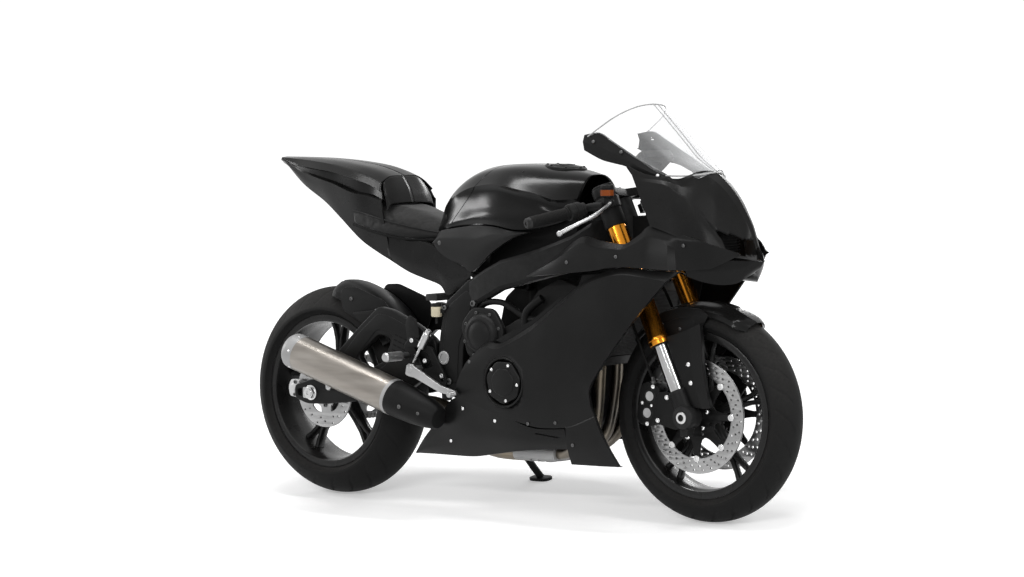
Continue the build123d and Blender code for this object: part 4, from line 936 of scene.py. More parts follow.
def makeSprocket():
    outline = []
    for tooth in range(drive["teeth"]):
        for share, reach in ((0.0, 96.4), (0.2, 95.4), (0.34, 88.6), (0.5, 86.4), (0.66, 88.6), (0.8, 95.4)):
            turn = 2 * pi * (tooth + share) / drive["teeth"]
            outline.append(Vector((reach * cos(turn), reach * sin(turn))))
    loops = [outline, circleLoop((0, 0), 42, 48)]
    for turn in evenTurns(5):
        loops.append(windowLoop(turn, ((76, -0.32), (79, 0), (76, 0.32), (60, 0.28), (60, -0.28)), 6))
    bm = bmesh.new()
    addPlate(bm, loops, 6.0, rightMatrix(-drive["side"] - 3.0, (0, rearHub.z)), edge=0.5)
    # the cush-drive carrier between the sprocket and the wheel's hub
    carrier = [(77.7, 21), (77.7, 49), (84, 50), (97, 50), (100.8, 47), (100.8, 21)]
    addLathe(bm, carrier, rearHub, toLeft, 60, ringed=True)
    for turn in evenTurns(5, pi / 5):
        addBolt(bm, onRing(rearHub, 50, turn, drive["side"] + 3), toLeft, 7, 7, "hex")
    makePiece("sprocketTeeth", bm, "sprocket_steel", "rear_wheel", replaced=["rear_sprocket"])


def chainLine():
    # the pitch line round both sprockets as even stations with a heading
    big, small = drive["sprocket"], drive["frontRadius"]
    gap = Vector((drive["front"][0], 0, drive["front"][1])) - rearHub
    length = gap.length
    slope = atan2(gap.z, gap.x)
    turnIn = pi / 2 - atan2(big - small, (length ** 2 - (big - small) ** 2) ** 0.5)
    sweepBack = 2 * pi - 2 * turnIn
    stations = [onRing(rearHub, big, slope + turnIn + sweepBack * step / 100) for step in range(101)]
    stations += [onRing(rearHub + gap, small, slope - turnIn + 2 * turnIn * step / 40) for step in range(41)]
    stations.append(stations[0])
    lengths = [0.0]
    for before, after in zip(stations, stations[1:]):
        lengths.append(lengths[-1] + (after - before).length)
    links = round(lengths[-1] / drive["linkLength"] / 2) * 2
    evenly = []
    place = 0
    for link in range(links):
        want = lengths[-1] * link / links
        while lengths[place + 1] < want:
            place += 1
        share = (want - lengths[place]) / max(lengths[place + 1] - lengths[place], 1e-6)
        evenly.append(stations[place].lerp(stations[place + 1], share))
    return evenly


def makeChain():
    stations = chainLine()
    bm = bmesh.new()
    for place, here in enumerate(stations):
        beyond = stations[(place + 1) % len(stations)]
        along = (beyond - here).normalized()
        middle = (here + beyond) / 2
        length = (beyond - here).length
        outerLink = place % 2 == 0
        for side in (-1, 1):
            inner = drive["side"] + side * (6.9 if outerLink else 5.0) - (drive["plateWall"] if side < 0 else 0)
            outline = []
            wide, waist = drive["plateHalf"] * 0.9, drive["plateHalf"] * 0.62
            for end in (1, -1):
                for step in range(7):
                    turn = -pi / 2 + pi * step / 6
                    outline.append(Vector((end * (length / 2 + wide * cos(turn)), end * wide * sin(turn))))
            outline[6:7] = [outline[6], Vector((0, waist))]
            outline.append(Vector((0, -waist)))
            matrix = axisMatrix((middle.x, inner, middle.z), toLeft, along)
            rings = [[matrix @ Vector((point.x, point.y, deep)) for point in outline]
                     for deep in (0, drive["plateWall"])]
            addRings(bm, rings)
        for half, radius, sides in ((9.4, 2.6, 8), (4.8, 5.0, 10)):
            addLathe(bm, [(-half, radius), (half, radius)], (here.x, drive["side"], here.z), toLeft, sides)
    makePiece("chainLinks", bm, "chain_steel", replaced=["drive_chain"])


makeSprocket()
makeChain()
print("chain drive")

# fork: tubes, feet, clamps, bars and controls, all on the steering body
fork = {
    "outerRadius": 27.0,
    "innerRadius": 21.5,
    "outerFrom": 215.0,
    "outerTo": 692.0,
    "footTop": 78.0,
    "lowerClamp": (440.0, 478.0),
    "upperClamp": (660.0, 684.0),
}


def forkPoint(along, ahead=0.0, side=0.0):
    return frontHub + forkUp * along + forkAhead * ahead + Vector((0, side, 0))


def makeForkTubes():
    outer, inner, feet = bmesh.new(), bmesh.new(), bmesh.new()
    base = forkPoint(0, 0, -bike["forkHalf"])
    r = fork["outerRadius"]
    start, end = fork["outerFrom"], fork["outerTo"]
    addLathe(outer, [(start, 21.8), (start, r + 1.6), (start + 1.2, r + 2.6), (start + 11, r + 2.6),
                     (start + 12.2, r + 1.4), (start + 13.4, r + 1.4), (start + 14.6, r + 2.6),
                     (start + 22, r + 2.4), (start + 26, r), (end - 3, r), (end - 0.4, r - 2.4), (end, r - 5),
                     (end, 12)], base, forkUp, 64)
    # preload cap
    addLathe(outer, [(end - 6, 19), (end - 1, 19), (end - 0.2, 17.4)], base, forkUp, 36)
    makePiece("forkOuterTubes", outer, "gold_alloy", "steering", replaced=["fork_outer_tubes"], both=True)
    r = fork["innerRadius"]
    addLathe(inner, [(fork["footTop"] - 10, r), (start + 8, r)], base, forkUp, 64)
    makePiece("forkInnerTubes", inner, "chrome_tube", "steering", replaced=["fork_inner_tubes"], both=True)
    seals = bmesh.new()
    seal = [(start - 4, 21.7), (start - 4, 24), (start - 1, 26.4), (start + 1, 26.4), (start + 1, 21.7)]
    addLathe(seals, seal, base, forkUp, 48, ringed=True)
    makePiece("forkDustSeals", seals, "gold_alloy", "steering", look="grip_rubber", both=True)
    # cast feet: a sleeve round the tube, the axle clamp, and an arm back to the caliper
    addLathe(feet, [(-30, 12), (-33, 20), (-26, 24.2), (52, 24.6), (66, 24.9), (fork["footTop"] - 2, 24.9),
                    (fork["footTop"], 23.4), (fork["footTop"], 21.6)], base, forkUp, 48)
    hub = forkPoint(0, 0, 0)
    addLathe(feet, [(77.4, 13), (77.4, 30), (80, 33), (100, 33.6), (124, 33.4), (128.6, 31), (128.6, 13)], hub,
             toRight, 48, ringed=True)
    centre = (frontHub.x, frontHub.z)
    arm = ((-4, -34), (72, -50), (112, -44), (116, -20), (112, 20), (108, 38), (84, 46), (30, 46))
    addBlock(feet, arm, 83, 99, 9, edge=2.2, centre=centre, turn=brakes["caliperTurn"])
    addBlock(feet, ((-12, -31), (-12, -52), (10, -54), (16, -30)), 88, 122, 5, edge=2.0, rounds=1,
             centre=centre)
    makePiece("forkFeet", feet, "cast_black", "steering", replaced=["fork_feet"], both=True)
    bolts = bmesh.new()
    for x in (-6, 6):
        addBolt(bolts, frontHub + Vector((x * 0.9, -98 - 10 * (x > 0), -54)), (0, 0, -1), 5.5, 5)
    turn = radians(brakes["caliperTurn"])
    ahead, up = Vector((cos(turn), 0, sin(turn))), Vector((sin(turn), 0, -cos(turn)))
    for reach, rise in ((78, -36), (96, 34)):
        addBolt(bolts, frontHub + ahead * reach - up * rise + toRight * 99, toRight, 7, 6)
    makePiece("forkFootBolts", bolts, "cast_black", "steering", look="bolt_silver", both=True)
    axle = bmesh.new()
    spindle = [(-134, 7.5), (-134, 15), (-132.6, 16.4), (-129.2, 16.4), (-129.2, 12.5), (129.2, 12.5),
               (129.2, 16.4), (132.6, 16.4), (134, 15), (134, 9.6), (126, 9.0), (126, 3)]
    addLathe(axle, spindle, frontHub, toRight, 40)
    for start in (59.0, -76.0):
        spacer = [(start, 12.4), (start, 16), (start + 1, 17), (start + 16, 17), (start + 17, 16),
                  (start + 17, 12.4)]
        addLathe(axle, spacer, frontHub, toRight, 36, ringed=True)
    makePiece("frontAxle", axle, "axle_steel", "steering", replaced=["front_axle"])


def makeCalipers():
    # radial calipers: two halves with raised cylinders, a bridge, pins and long bolts
    body, bolts, caps = bmesh.new(), bmesh.new(), bmesh.new()
    outline = ((110, -50), (122, -59), (158, -61), (174, -48), (176, -20), (172, 0), (176, 20), (174, 48),
               (158, 61), (122, 59), (110, 50))
    centre, turn = (frontHub.x, frontHub.z), brakes["caliperTurn"]
    bridge = ((166, -46), (176, -40), (176, 40), (166, 46))
    addBlock(body, outline, 69.5, 97.5, 8, edge=3.4, centre=centre, turn=turn)
    addBlock(body, outline, 38.5, 51.5, 8, edge=3.0, centre=centre, turn=turn)
    addBlock(body, bridge, 48.5, 72.5, 3, edge=1.6, rounds=1, centre=centre, turn=turn)
    matrix = rightMatrix(0, centre, turn)
    for across in (-24, 24):
        place = matrix @ Vector((139, across, 96))
        addLathe(body, [(-2, 20), (1.4, 19), (3, 17)], place, toRight, 40)
        addLathe(caps, [(2.4, 13.4), (3.8, 13.4), (4.0, 12.2), (3.2, 7), (3.2, 3)], place, toRight, 32)
    for across, reach, radius in ((-53, 132, 6.2), (53, 132, 6.2), (0, 160, 4.6), (0, 128, 4.2)):
        place = matrix @ Vector((reach, across, 97.2))
        addBolt(bolts, place, toRight, radius, radius * 0.7)
    makePiece("caliperHalves", body, "caliper_black", "steering", replaced=["front_calipers"], both=True)
    makePiece("caliperCaps", caps, "caliper_black", "steering", look="alloy_silver", both=True)
    makePiece("caliperBolts", bolts, "caliper_black", "steering", look="bolt_silver", both=True)


def makeClamps():
    bm, bolts = bmesh.new(), bmesh.new()
    tube, stem = bike["forkHalf"], bike["stemBehind"]
    for (low, high), ring, arm in ((fork["lowerClamp"], 37.0, 28.0), (fork["upperClamp"], 34.0, 20.0)):
        outline = []
        for side, start in ((-1, -160), (1, -40)):
            for step in range(13):
                turn = radians(start + 200 * step / 12)
                outline.append((ring * cos(turn), side * tube + ring * sin(turn)))
            if side < 0:
                outline += [(arm - 8, -tube + 46), (arm - 20, 0), (arm - 8, tube - 46)]
        outline += [(-arm - 6, tube - 44), (-stem - 34, 22), (-stem - 38, 0), (-stem - 34, -22),
                    (-arm - 6, -tube + 44)]
        loops = [roundedOutline(outline, 5, 3), circleLoop((0, -tube), 27.05, 40),
                 circleLoop((0, tube), 27.05, 40), circleLoop((-stem, 0), 9.0, 24)]
        for side in (-1, 1):
            loops.append(roundedOutline([(-12, side * 64), (6, side * 66), (4, side * 34),
                                         (-16, side * 30)][::side], 6))
        matrix = axisMatrix(forkPoint(low), forkUp, forkAhead)
        addPlate(bm, loops, high - low, matrix, edge=1.6, rounds=2)
        for side in (-1, 1):
            for share in (0.3, 0.7) if high - low > 30 else (0.5,):
                place = forkPoint(low + share * (high - low), -ring + 6, side * (tube - 21))
                addBolt(bolts, place + Vector((0, side * -16, 0)), (0, side * -1, 0), 5, 5)
    addLathe(bm, [(0, 9), (0, 17), (222, 17), (222, 9)], forkPoint(fork["lowerClamp"][0] + 1, -stem), forkUp,
             40, ringed=True)
    addLathe(bolts, [(0, 9), (0, 19), (2, 20), (9, 20), (11, 18.4), (11, 9)],
             forkPoint(fork["upperClamp"][1], -stem), forkUp, 6, ringed=True)
    makePiece("tripleClamps", bm, "clamp_black", "steering", replaced=["triple_clamps"])
    makePiece("clampBolts", bolts, "clamp_black", "steering", look="bolt_dark")


bars = {
    "root": Vector((1098, -112, 884)),
    "tip": Vector((1012, -342, 838)),
    "gripLength": 122.0,
    "cup": Vector((1146, -148, 906)),
    "leverPath": ((1158, -150, 890), (1174, -190, 880), (1166, -250, 852), (1124, -334, 812)),
}


def makeBars():
    along = (bars["tip"] - bars["root"]).normalized()
    length = (bars["tip"] - bars["root"]).length
    gripEnd = length - 14
    bm = bmesh.new()
    addLathe(bm, [(-8, 10.9), (length - 2, 10.9)], bars["root"], along, 28)
    weight = [(gripEnd + 0.5, 15.8), (length - 3, 14.4), (length, 12), (length, 5), (length - 4, 4)]
    addLathe(bm, weight, bars["root"], along, 32)
    ring = forkPoint(622, 0, -bike["forkHalf"])
    addLathe(bm, [(0, 27.1), (0, 33.4), (1.6, 35), (30.4, 35), (32, 33.4), (32, 27.1)], ring, forkUp, 48,
             ringed=True)
    # the clamp's ears and the boss that the bar rises from
    addPlate(bm, [roundedOutline(((-50, -10), (-30, -14), (-30, 14), (-50, 10)), 4)], 26.0,
             axisMatrix(forkPoint(625, 0, -bike["forkHalf"]), forkUp, forkAhead), edge=1.4)
    makePiece("clipOnBars", bm, "bar_black", "steering", replaced=["clip_on_bars"], both=True)
    grips = bmesh.new()
    start = gripEnd - bars["gripLength"]
    profile = [(start, 11.1), (start, 18.5), (start + 3, 19), (start + 5, 18.6), (start + 6, 16.4)]
    rib = start + 10
    while rib < gripEnd - 12:
        profile += [(rib, 16.0), (rib + 0.6, 16.8), (rib + 2.6, 16.8), (rib + 3.2, 16.0)]
        rib += 4.6
    profile += [(gripEnd - 5, 16.4), (gripEnd - 3, 17), (gripEnd, 16.4), (gripEnd, 11.1)]
    addLathe(grips, profile, bars["root"], along, 36, ringed=True)
    makePiece("handGrips", grips, "grip_rubber", "steering", replaced=["hand_grips"], both=True)
    # throttle drum, switch box, master cylinder with its lever pivot, and the fluid cup
    housing = bmesh.new()
    boxStart = start - 42
    addLathe(housing, [(boxStart, 11.1), (boxStart, 21), (boxStart + 2, 23.6), (boxStart + 18, 24),
                       (boxStart + 20, 22.6), (boxStart + 22, 24), (boxStart + 38, 23.6), (boxStart + 41, 20),
                       (boxStart + 41, 11.1)],
             bars["root"], along, 36, ringed=True)
    addLathe(housing, [(boxStart - 15, 11.1), (boxStart - 15, 17), (boxStart - 13, 19), (boxStart - 2, 19),
                       (boxStart, 17), (boxStart, 11.1)], bars["root"], along, 30, ringed=True)
    cylinder = bars["root"] + along * (boxStart - 14) + Vector((18, 0, 4))
    addLathe(housing, [(-6, 8), (-4, 11), (8, 12), (36, 12), (46, 10.6), (48, 8)], cylinder, (0.995, 0, 0.1),
             28)
    pivot = Vector(bars["leverPath"][0])
    addLathe(housing, [(-9, 8), (-8, 10), (8, 10), (9, 8)], pivot + Vector((-4, 4, 0)), (0.1, 0.2, 0.97), 24)
    cup = [(-26, 6), (-26, 10), (-2, 10.8), (0, 17.6), (3, 18.8), (22, 18.8), (23, 17.4)]
    addLathe(housing, cup, bars["cup"], upward, 32)
    addLathe(housing, [(24, 17.6), (24.4, 19), (32, 19), (34, 17)], bars["cup"], upward, 16)
    # black collars round the upper ends of the fork tubes
    collar = [(570, 27.2), (570, 30), (572, 31), (690, 31), (692, 29), (692, 27.2)]
    addLathe(housing, collar, forkPoint(0, 0, -bike["forkHalf"]), forkUp, 40, ringed=True)
    makePiece("handControls", housing, "control_black", "steering", replaced=["hand_controls"], both=True)
    fluid = bmesh.new()
    addLathe(fluid, [(4, 18.95), (20, 18.95)], bars["cup"], upward, 40)
    makePiece("fluidCupBodies", fluid, "control_black", "steering", look="amber_fluid", both=True)
    buttons = bmesh.new()
    for share, radius in ((8, 3.4), (16, 2.8), (28, 3.2)):
        place = bars["root"] + along * (boxStart + share) + Vector((-23, 0, 4))
        addLathe(buttons, [(-3, radius), (2.4, radius), (3.2, radius * 0.8)], place, (-0.95, 0, 0.3), 16)
    makePiece("switchButtons", buttons, "control_black", "steering", look="seam_thread", both=True)
    levers = bmesh.new()
    points = bars["leverPath"]
    path = [(*points[0], 7.0), (*points[1], 6.2), (1174, -220, 867, 6.0), (*points[2], 6.0),
            (1148, -292, 834, 5.8), (*points[3], 6.4)]
    addSweep(levers, path, sides=16, steps=8, flat=0.62, upright=(0.2, 0.3, 0.93))
    addLathe(levers, [(-8.4, 3), (-7, 6.4), (-2.4, 8.4), (2.4, 8.4), (7, 6.4), (8.4, 3)], points[3],
             (0.3, 0.5, 0.2), 24)
    makePiece("handLevers", levers, "lever_black", "steering", replaced=["hand_levers"], both=True)


hoses = {
    "radius": 4.0,
    "foot": Vector((1251, -88, 386)),
    "path": ((1238, -101, 446), (1214, -106, 508), (1186, -104, 570), (1168, -88, 628)),
}


def makeHoses():
    bm, ends = bmesh.new(), bmesh.new()
    head = forkPoint(fork["lowerClamp"][0] - 6, -45, -60)
    start = hoses["foot"] + Vector((-4, 0, 14))
    # straight runs joined by tangent arcs
    points = [start, *[Vector(point) for point in hoses["path"]], head]
    line = [tuple(points[0])]
    for before, here, after in zip(points, points[1:], points[2:]):
        reach = 0.45 * min((here - before).length, (after - here).length)
        enter, leave = here + (before - here).normalized() * reach, here + (after - here).normalized() * reach
        for step in range(5):
            t = step / 4
            line.append(tuple(enter * (1 - t) ** 2 + here * 2 * t * (1 - t) + leave * t ** 2))
    line.append(tuple(points[-1]))
    addSweep(bm, line, hoses["radius"], sides=12, steps=2)
    makePiece("frontBrakeHoses", bm, "hose_black", "steering", replaced=["front_brake_hoses"], both=True)
    addLathe(ends, [(0, 5), (1, 7.6), (9, 7.6), (10, 5.2), (20, 5.2)], hoses["foot"], (-0.2, 0, 0.98), 12)
    addLathe(ends, [(-8, 4), (-8, 7), (6, 7), (6, 4)], head, forkUp, 12)
    makePiece("hoseEnds", ends, "hose_black", "steering", look="bolt_dark", both=True)


makeForkTubes()
makeCalipers()
makeClamps()
makeBars()
makeHoses()
print("fork and controls")

# front mudguard: a glossy ridged hood over the tyre and a satin flap to each fork leg
guard = {"from": 56.0, "to": 138.0, "half": 68.0, "clear": 310.5, "wall": 3.0}


def hoodSection(half, clear, wall, drop, ridge):
    # outer face then the inner face, across the tyre; ridge is a raised band down the middle
    outer = [(-half, clear - drop), (-half * 0.93, clear - drop * 0.62), (-half * 0.74, clear - drop * 0.27),
             (-half * 0.44, clear + wall - 3.6), (-ridge, clear + wall - 2.4),
             (-ridge * 0.84, clear + wall + 0.0), (0, clear + wall + 0.6)]
    outer = outer + [(-y, r) for y, r in reversed(outer[:-1])]
    inner = [(y * 0.965, r - wall) for y, r in reversed(outer)]
    return outer, inner


def makeFrontMudguard():
    bm = bmesh.new()
    outer, inner = hoodSection(guard["half"], guard["clear"], guard["wall"], 30.0, 24.0)
    rings = []
    steps = 44
    for step in range(steps + 1):
        share = step / steps
        turn = radians(guard["from"] + (guard["to"] - guard["from"]) * share)
        tip = min(share / 0.09, (1 - share) / 0.05, 1.0)
        narrow = 0.62 + 0.38 * sin(tip * pi / 2)
        ring = []
        for y, r in outer + inner:
            sink = (guard["clear"] - r) * 0.25 * (1 - narrow)
            ring.append(onRing(frontHub, r + sink, turn, y * narrow))
        rings.append(ring)
    addRings(bm, rings)
    makePiece("mudguardHood", bm, "guard_black", "steering", replaced=["front_mudguard"], angle=28)
    flap = bmesh.new()
    outline = ((1232, 556), (1268, 584), (1330, 600), (1398, 598), (1428, 580), (1404, 548), (1396, 486),
               (1352, 428), (1292, 440), (1262, 500))
    raised = ((1262, 548), (1330, 574), (1380, 570), (1376, 500), (1344, 452), (1304, 458), (1284, 500))
    addBlock(flap, outline, 65, 69, 12, edge=1.2)
    addBlock(flap, raised, 65, 70.5, 12, edge=1.8)
    for along in (190.0, 156.0):
        lug = forkPoint(along)
        addLathe(flap, [(66, 9), (88, 9), (88, 4)], (lug.x, 0, lug.z), toRight, 20)
    makePiece("mudguardFlaps", flap, "guard_black", "steering", look="cover_satin", both=True)
    makeBolts("mudguardBolts", ((1330, -70, 540), (1268, -69, 552)), "guard_black", "steering", radius=5.5,
              height=3.0)
    # a satin guard ahead of each leg, held by two screws
    legGuard = bmesh.new()
    rows = (
        ((1304, 104, 519), (1345, 107, 529), (1385, 105, 542), (1416, 95, 558)),
        ((1312, 104, 500), (1348, 107, 504), (1388, 105, 508), (1420, 94, 512)),
        ((1328, 104, 460), (1356, 107, 458), (1392, 105, 456), (1421, 94, 458)),
        ((1346, 104, 420), (1368, 107, 416), (1398, 105, 410), (1427, 94, 408)),
        ((1362, 103, 380), (1382, 106, 375), (1408, 104, 368), (1435, 93, 366)),
        ((1384, 101, 334), (1404, 104, 330), (1426, 102, 326), (1446, 92, 328)),
    )
    addPanel(legGuard, rows, along=5, down=5, keen=(2,), lips=(6, 4, 0, 12))
    makePiece("legGuards", legGuard, "guard_black", "steering", look="cover_satin", both=True, shell=2.4,
              angle=30)
    makeBolts("legGuardScrews", ((1384, -107, 447), (1391, -107, 396)), "guard_black", "steering",
              "bolt_silver", radius=6.6, height=2.6)


makeFrontMudguard()
print("front mudguard")

# body panels. A panel's half width is read from sections, smoothly between them
skinSections = (
    # x, then (z, half width) from the top down
    (360, (640, 92), (480, 112), (330, 130), (230, 130), (165, 116), (140, 90)),
    (620, (720, 142), (520, 178), (420, 194), (310, 192), (200, 162), (140, 120)),
    (820, (780, 166), (600, 202), (480, 214), (330, 212), (200, 180), (140, 140)),
    (1010, (840, 184), (690, 204), (580, 217), (420, 217), (230, 190), (140, 158)),
    (1200, (850, 192), (720, 208), (600, 216), (450, 214), (250, 196), (140, 176)),
    (1360, (870, 176), (740, 198), (660, 203), (500, 200), (300, 192), (140, 178)),
    (1560, (870, 92), (750, 104), (680, 116), (500, 120), (300, 120), (140, 110)),
)
tailSections = (
    (-216, (1045, 22), (1015, 27), (900, 16), (600, 12)),
    (0, (1045, 74), (985, 94), (880, 66), (600, 50)),
    (150, (1045, 88), (950, 122), (800, 92), (600, 70)),
    (300, (1045, 98), (880, 128), (730, 100), (600, 88)),
    (470, (1045, 98), (800, 118), (680, 114), (600, 104)),
    (650, (1045, 110), (740, 138), (660, 134), (600, 124)),
)


def halfAt(sections, x, z):
    def across(section):
        pairs = section[1:]
        if z >= pairs[0][0]:
            return pairs[0][1]
        for (above, wide), (below, narrow) in zip(pairs, pairs[1:]):
            if z >= below:
                share = (above - z) / (above - below)
                eased = share * 0.6 + 0.4 * share * share * (3 - 2 * share)
                return wide + (narrow - wide) * eased
        return pairs[-1][1]

    if x <= sections[0][0]:
        return across(sections[0])
    for before, after in zip(sections, sections[1:]):
        if x <= after[0]:
            share = (x - before[0]) / (after[0] - before[0])
            return across(before) * (1 - share) + across(after) * share
    return across(sections[-1])


def skinRows(rungs, offsets, sections=skinSections):
    # each rung goes from the top edge down; offsets lift its columns off the skin
    return [[(x, halfAt(sections, x, z) + lift, z) for (x, z), lift in zip(rung, offsets)] for rung in rungs]


def onSkin(places, lift):
    return [(x, -halfAt(skinSections, x, z) - lift, z) for x, z in places]


mainPanel = {
    "rungs": (
        ((672, 448), (664, 437), (640, 402), (628, 380), (616, 356), (605, 331)),
        ((728, 491), (726, 478), (723, 440), (721, 398), (719, 350), (718, 303)),
        ((790, 492), (792, 478), (792, 436), (791, 384), (790, 334), (789, 286)),
        ((860, 522), (863, 506), (863, 450), (862, 388), (861, 330), (860, 269)),
        ((923, 556), (927, 540), (926, 474), (925, 402), (924, 330), (924, 258)),
        ((1015, 618), (1014, 600), (1000, 520), (988, 430), (998, 345), (1018, 262)),
        ((1100, 676), (1098, 658), (1068, 560), (1036, 440), (1030, 345), (1044, 268)),
        ((1215, 712), (1206, 692), (1140, 575), (1070, 445), (1058, 350), (1070, 277)),
        ((1310, 708), (1298, 690), (1212, 572), (1106, 440), (1090, 345), (1098, 288)),
        ((1402, 703), (1377, 678), (1271, 564), (1136, 404), (1116, 345), (1126, 300)),
    ),
    "offsets": (-15, 0, 2, 2, 0.5, -2),
    "tip": (
        ((1019, 264), (1017, 235), (1014, 200), (1012, 156)),
        ((1048, 271), (1052, 235), (1056, 200), (1062, 157)),
        ((1090, 287), (1100, 240), (1112, 200), (1124, 158)),
        ((1126, 301), (1140, 262), (1164, 212), (1192, 160)),
    ),
    "hole": ((815.0, 384.0), 65.0),
    "bolts": ((676, 436), (886, 268), (1038, 214), (985, 275)),
}


def makeMainPanels():
    bm = bmesh.new()
    addPanel(bm, skinRows(mainPanel["rungs"], mainPanel["offsets"]), along=7, down=6, keen=(1,),
             lips=(5, 9, 7, 7))
    addPanel(bm, skinRows(mainPanel["tip"], (-1.2, -1, -1, -3)), along=5, down=5, lips=(4, 9, 0, 7))
    # joint between the side panel and the belly, and the short crease ahead of the round cover
    addGroove(bm, (824, 0, 411), (0.5, 0, -0.87), where=lambda at: 868 < at.x < 1000 and 330 < at.z < 420)
    hole, radius = mainPanel["hole"]

    def nearHole(reach):
        return [vert for vert in bm.verts
                if (vert.co.x - hole[0]) ** 2 + (vert.co.z - hole[1]) ** 2 < reach ** 2]

    bmesh.ops.delete(bm, geom=nearHole(radius), context="VERTS")
    for vert in [vert for vert in nearHole(radius * 1.5) if vert.is_boundary]:
        flat = Vector((vert.co.x - hole[0], 0, vert.co.z - hole[1])).normalized() * (radius + 1)
        vert.co.x, vert.co.z = hole[0] + flat.x, hole[1] + flat.z
    collar = bmesh.new()
    half = halfAt(skinSections, *hole) + 2
    addLathe(collar, [(half - 12, 64.5), (half - 2, 64.8), (half + 1.5, 66.5), (half + 2, 69.5),
                      (half - 2, 73)],
             (hole[0], 0, hole[1]), toRight, 64)
    for face in [face for face in collar.faces if len(face.verts) > 8]:
        collar.faces.remove(face)
    mesh = bpy.data.meshes.new("collar")
    collar.to_mesh(mesh)
    bm.from_mesh(mesh)
    left = bm.copy()
    makePiece("sidePanelRight", bm, "fairing_black", replaced=["side_fairing_right"], shell=3.0, angle=30)
    for vert in left.verts:
        vert.co.y = -vert.co.y
    makePiece("sidePanelLeft", left, "fairing_black", replaced=["side_fairing_left"], shell=3.0, angle=30)
    makeBolts("sidePanelBolts", onSkin(mainPanel["bolts"], 0.5), "fairing_black")


lowerPanel = {
    "rungs": (
        ((376, 150), (376, 149.6), (376, 149.2), (376, 149)),
        ((440, 200), (442, 186), (444, 170), (446, 151)),
        ((520, 263), (520, 230), (520, 190), (520, 152)),
        ((605, 328), (608, 270), (612, 210), (619, 154)),
        ((700, 307), (702, 262), (705, 214), (708, 167)),
        ((814, 280), (814, 248), (814, 216), (814, 183)),
        ((903, 255), (904, 234), (906, 213), (908, 193)),
        ((1012, 258), (1014, 240), (1017, 220), (1019, 201)),
    ),
    "offsets": (-4, -3, -4, -9),
    "bolts": ((640, 300), (560, 200), (760, 270)),
}


def makeLowerPanels():
    # the left one stops ahead of the side stand
    for name, side, first in (("Right", -1, 0), ("Left", 1, 3)):
        bm = bmesh.new()
        rows = skinRows(lowerPanel["rungs"][first:], lowerPanel["offsets"])
        addPanel(bm, rows, along=6, down=6, side=side, lips=(4, 4, 5, 9))
        # two long vents near the front end
        addGroove(bm, (950, 0, 236), (0.1, 0, 1), width=5, depth=4,
                  where=lambda at: 912 < at.x < 992 and 205 < at.z < 250)
        makePiece(f"bellyPanel{name}", bm, "fairing_black", replaced=[f"lower_cowl_{name.lower()}"], shell=3.0)
    makeBolts("bellyBolts", onSkin(lowerPanel["bolts"], -2.5), "fairing_black", look="bolt_silver")


upperPanel = {
    "rungs": (
        ((885, 686), (886, 685.4), (887, 684.6), (890, 683)),
        ((940, 716), (942, 710), (944, 700), (947, 688)),
        ((1004, 751), (1005, 738), (1006, 718), (1006, 693)),
        ((1076, 796), (1076, 778), (1076, 742), (1076, 699)),
        ((1140, 787), (1140, 768), (1140, 738), (1140, 705)),
        ((1187, 781), (1186, 765), (1184, 738), (1182, 712)),
        ((1233, 779), (1232, 764), (1230, 740), (1228, 716)),
        ((1276, 803), (1276, 782), (1275, 748), (1274, 715)),
        ((1318, 830), (1320, 800), (1324, 758), (1330, 712)),
        ((1400, 806), (1400, 780), (1402, 744), (1402, 707)),
        ((1473, 777), (1466, 758), (1456, 734), (1444, 709)),
        ((1536, 748), (1520, 738), (1498, 724), (1473, 710)),
    ),
    "offsets": (-14, -3, 0, 1.5),
    "bolts": ((1418, 775), (1216, 744), (1040, 726)),
}


def makeUpperPanels():
    bm = bmesh.new()
    addPanel(bm, skinRows(upperPanel["rungs"], upperPanel["offsets"]), along=6, down=6, keen=(1,),
             lips=(3, 6, 8, 8))
    # its front end draws in with the pointed nose
    for vert in bm.verts:
        if vert.co.x > 1386:
            reach = min((vert.co.x - 1386) / 140, 1.0)
            vert.co.y = max(vert.co.y, -(168 - 46 * reach - 52 * reach * reach))
    makePiece("upperSidePanels", bm, "fairing_black", replaced=["upper_side_panels"], both=True, shell=3.0,
              angle=28)
    makeBolts("upperPanelBolts", onSkin(upperPanel["bolts"], 1), "fairing_black")


makeMainPanels()
makeLowerPanels()
makeUpperPanels()
print("side panels")

# fuel tank: crowned top, a crease along each shoulder, knee hollows and louvres behind the cap
tank = {
    "stations": (
        # x, then (half width, z) from the middle of the top down
        (448, (0, 840), (14, 839), (30, 834), (44, 826), (50, 818), (56, 812), (60, 806), (56, 800)),
        (480, (0, 905), (22, 903), (44, 892), (62, 874), (68, 856), (76, 836), (82, 818), (78, 806)),
        (520, (0, 941), (28, 939), (58, 924), (82, 898), (86, 878), (94, 850), (100, 824), (96, 808)),
        (580, (0, 973), (32, 971), (70, 955), (100, 922), (100, 902), (108, 868), (116, 836), (112, 818)),
        (650, (0, 992), (38, 990), (84, 974), (118, 937), (114, 916), (124, 880), (136, 848), (132, 828)),
        (740, (0, 998), (44, 997), (96, 984), (142, 942), (134, 920), (144, 884), (158, 850), (154, 826)),
        (820, (0, 996), (46, 995), (100, 980), (154, 930), (142, 908), (150, 878), (162, 848), (158, 814)),
        (890, (0, 987), (44, 986), (96, 968), (150, 916), (140, 896), (144, 872), (152, 850), (148, 818)),
        (950, (0, 977), (40, 975), (84, 956), (138, 898), (126, 884), (124, 866), (126, 852), (120, 832)),
        (1000, (0, 966), (34, 963), (66, 944), (98, 900), (96, 888), (92, 876), (88, 868), (80, 856)),
    ),
    "cap": (884, 987),
    "louvres": (736, 752, 768, 784, 800),
}


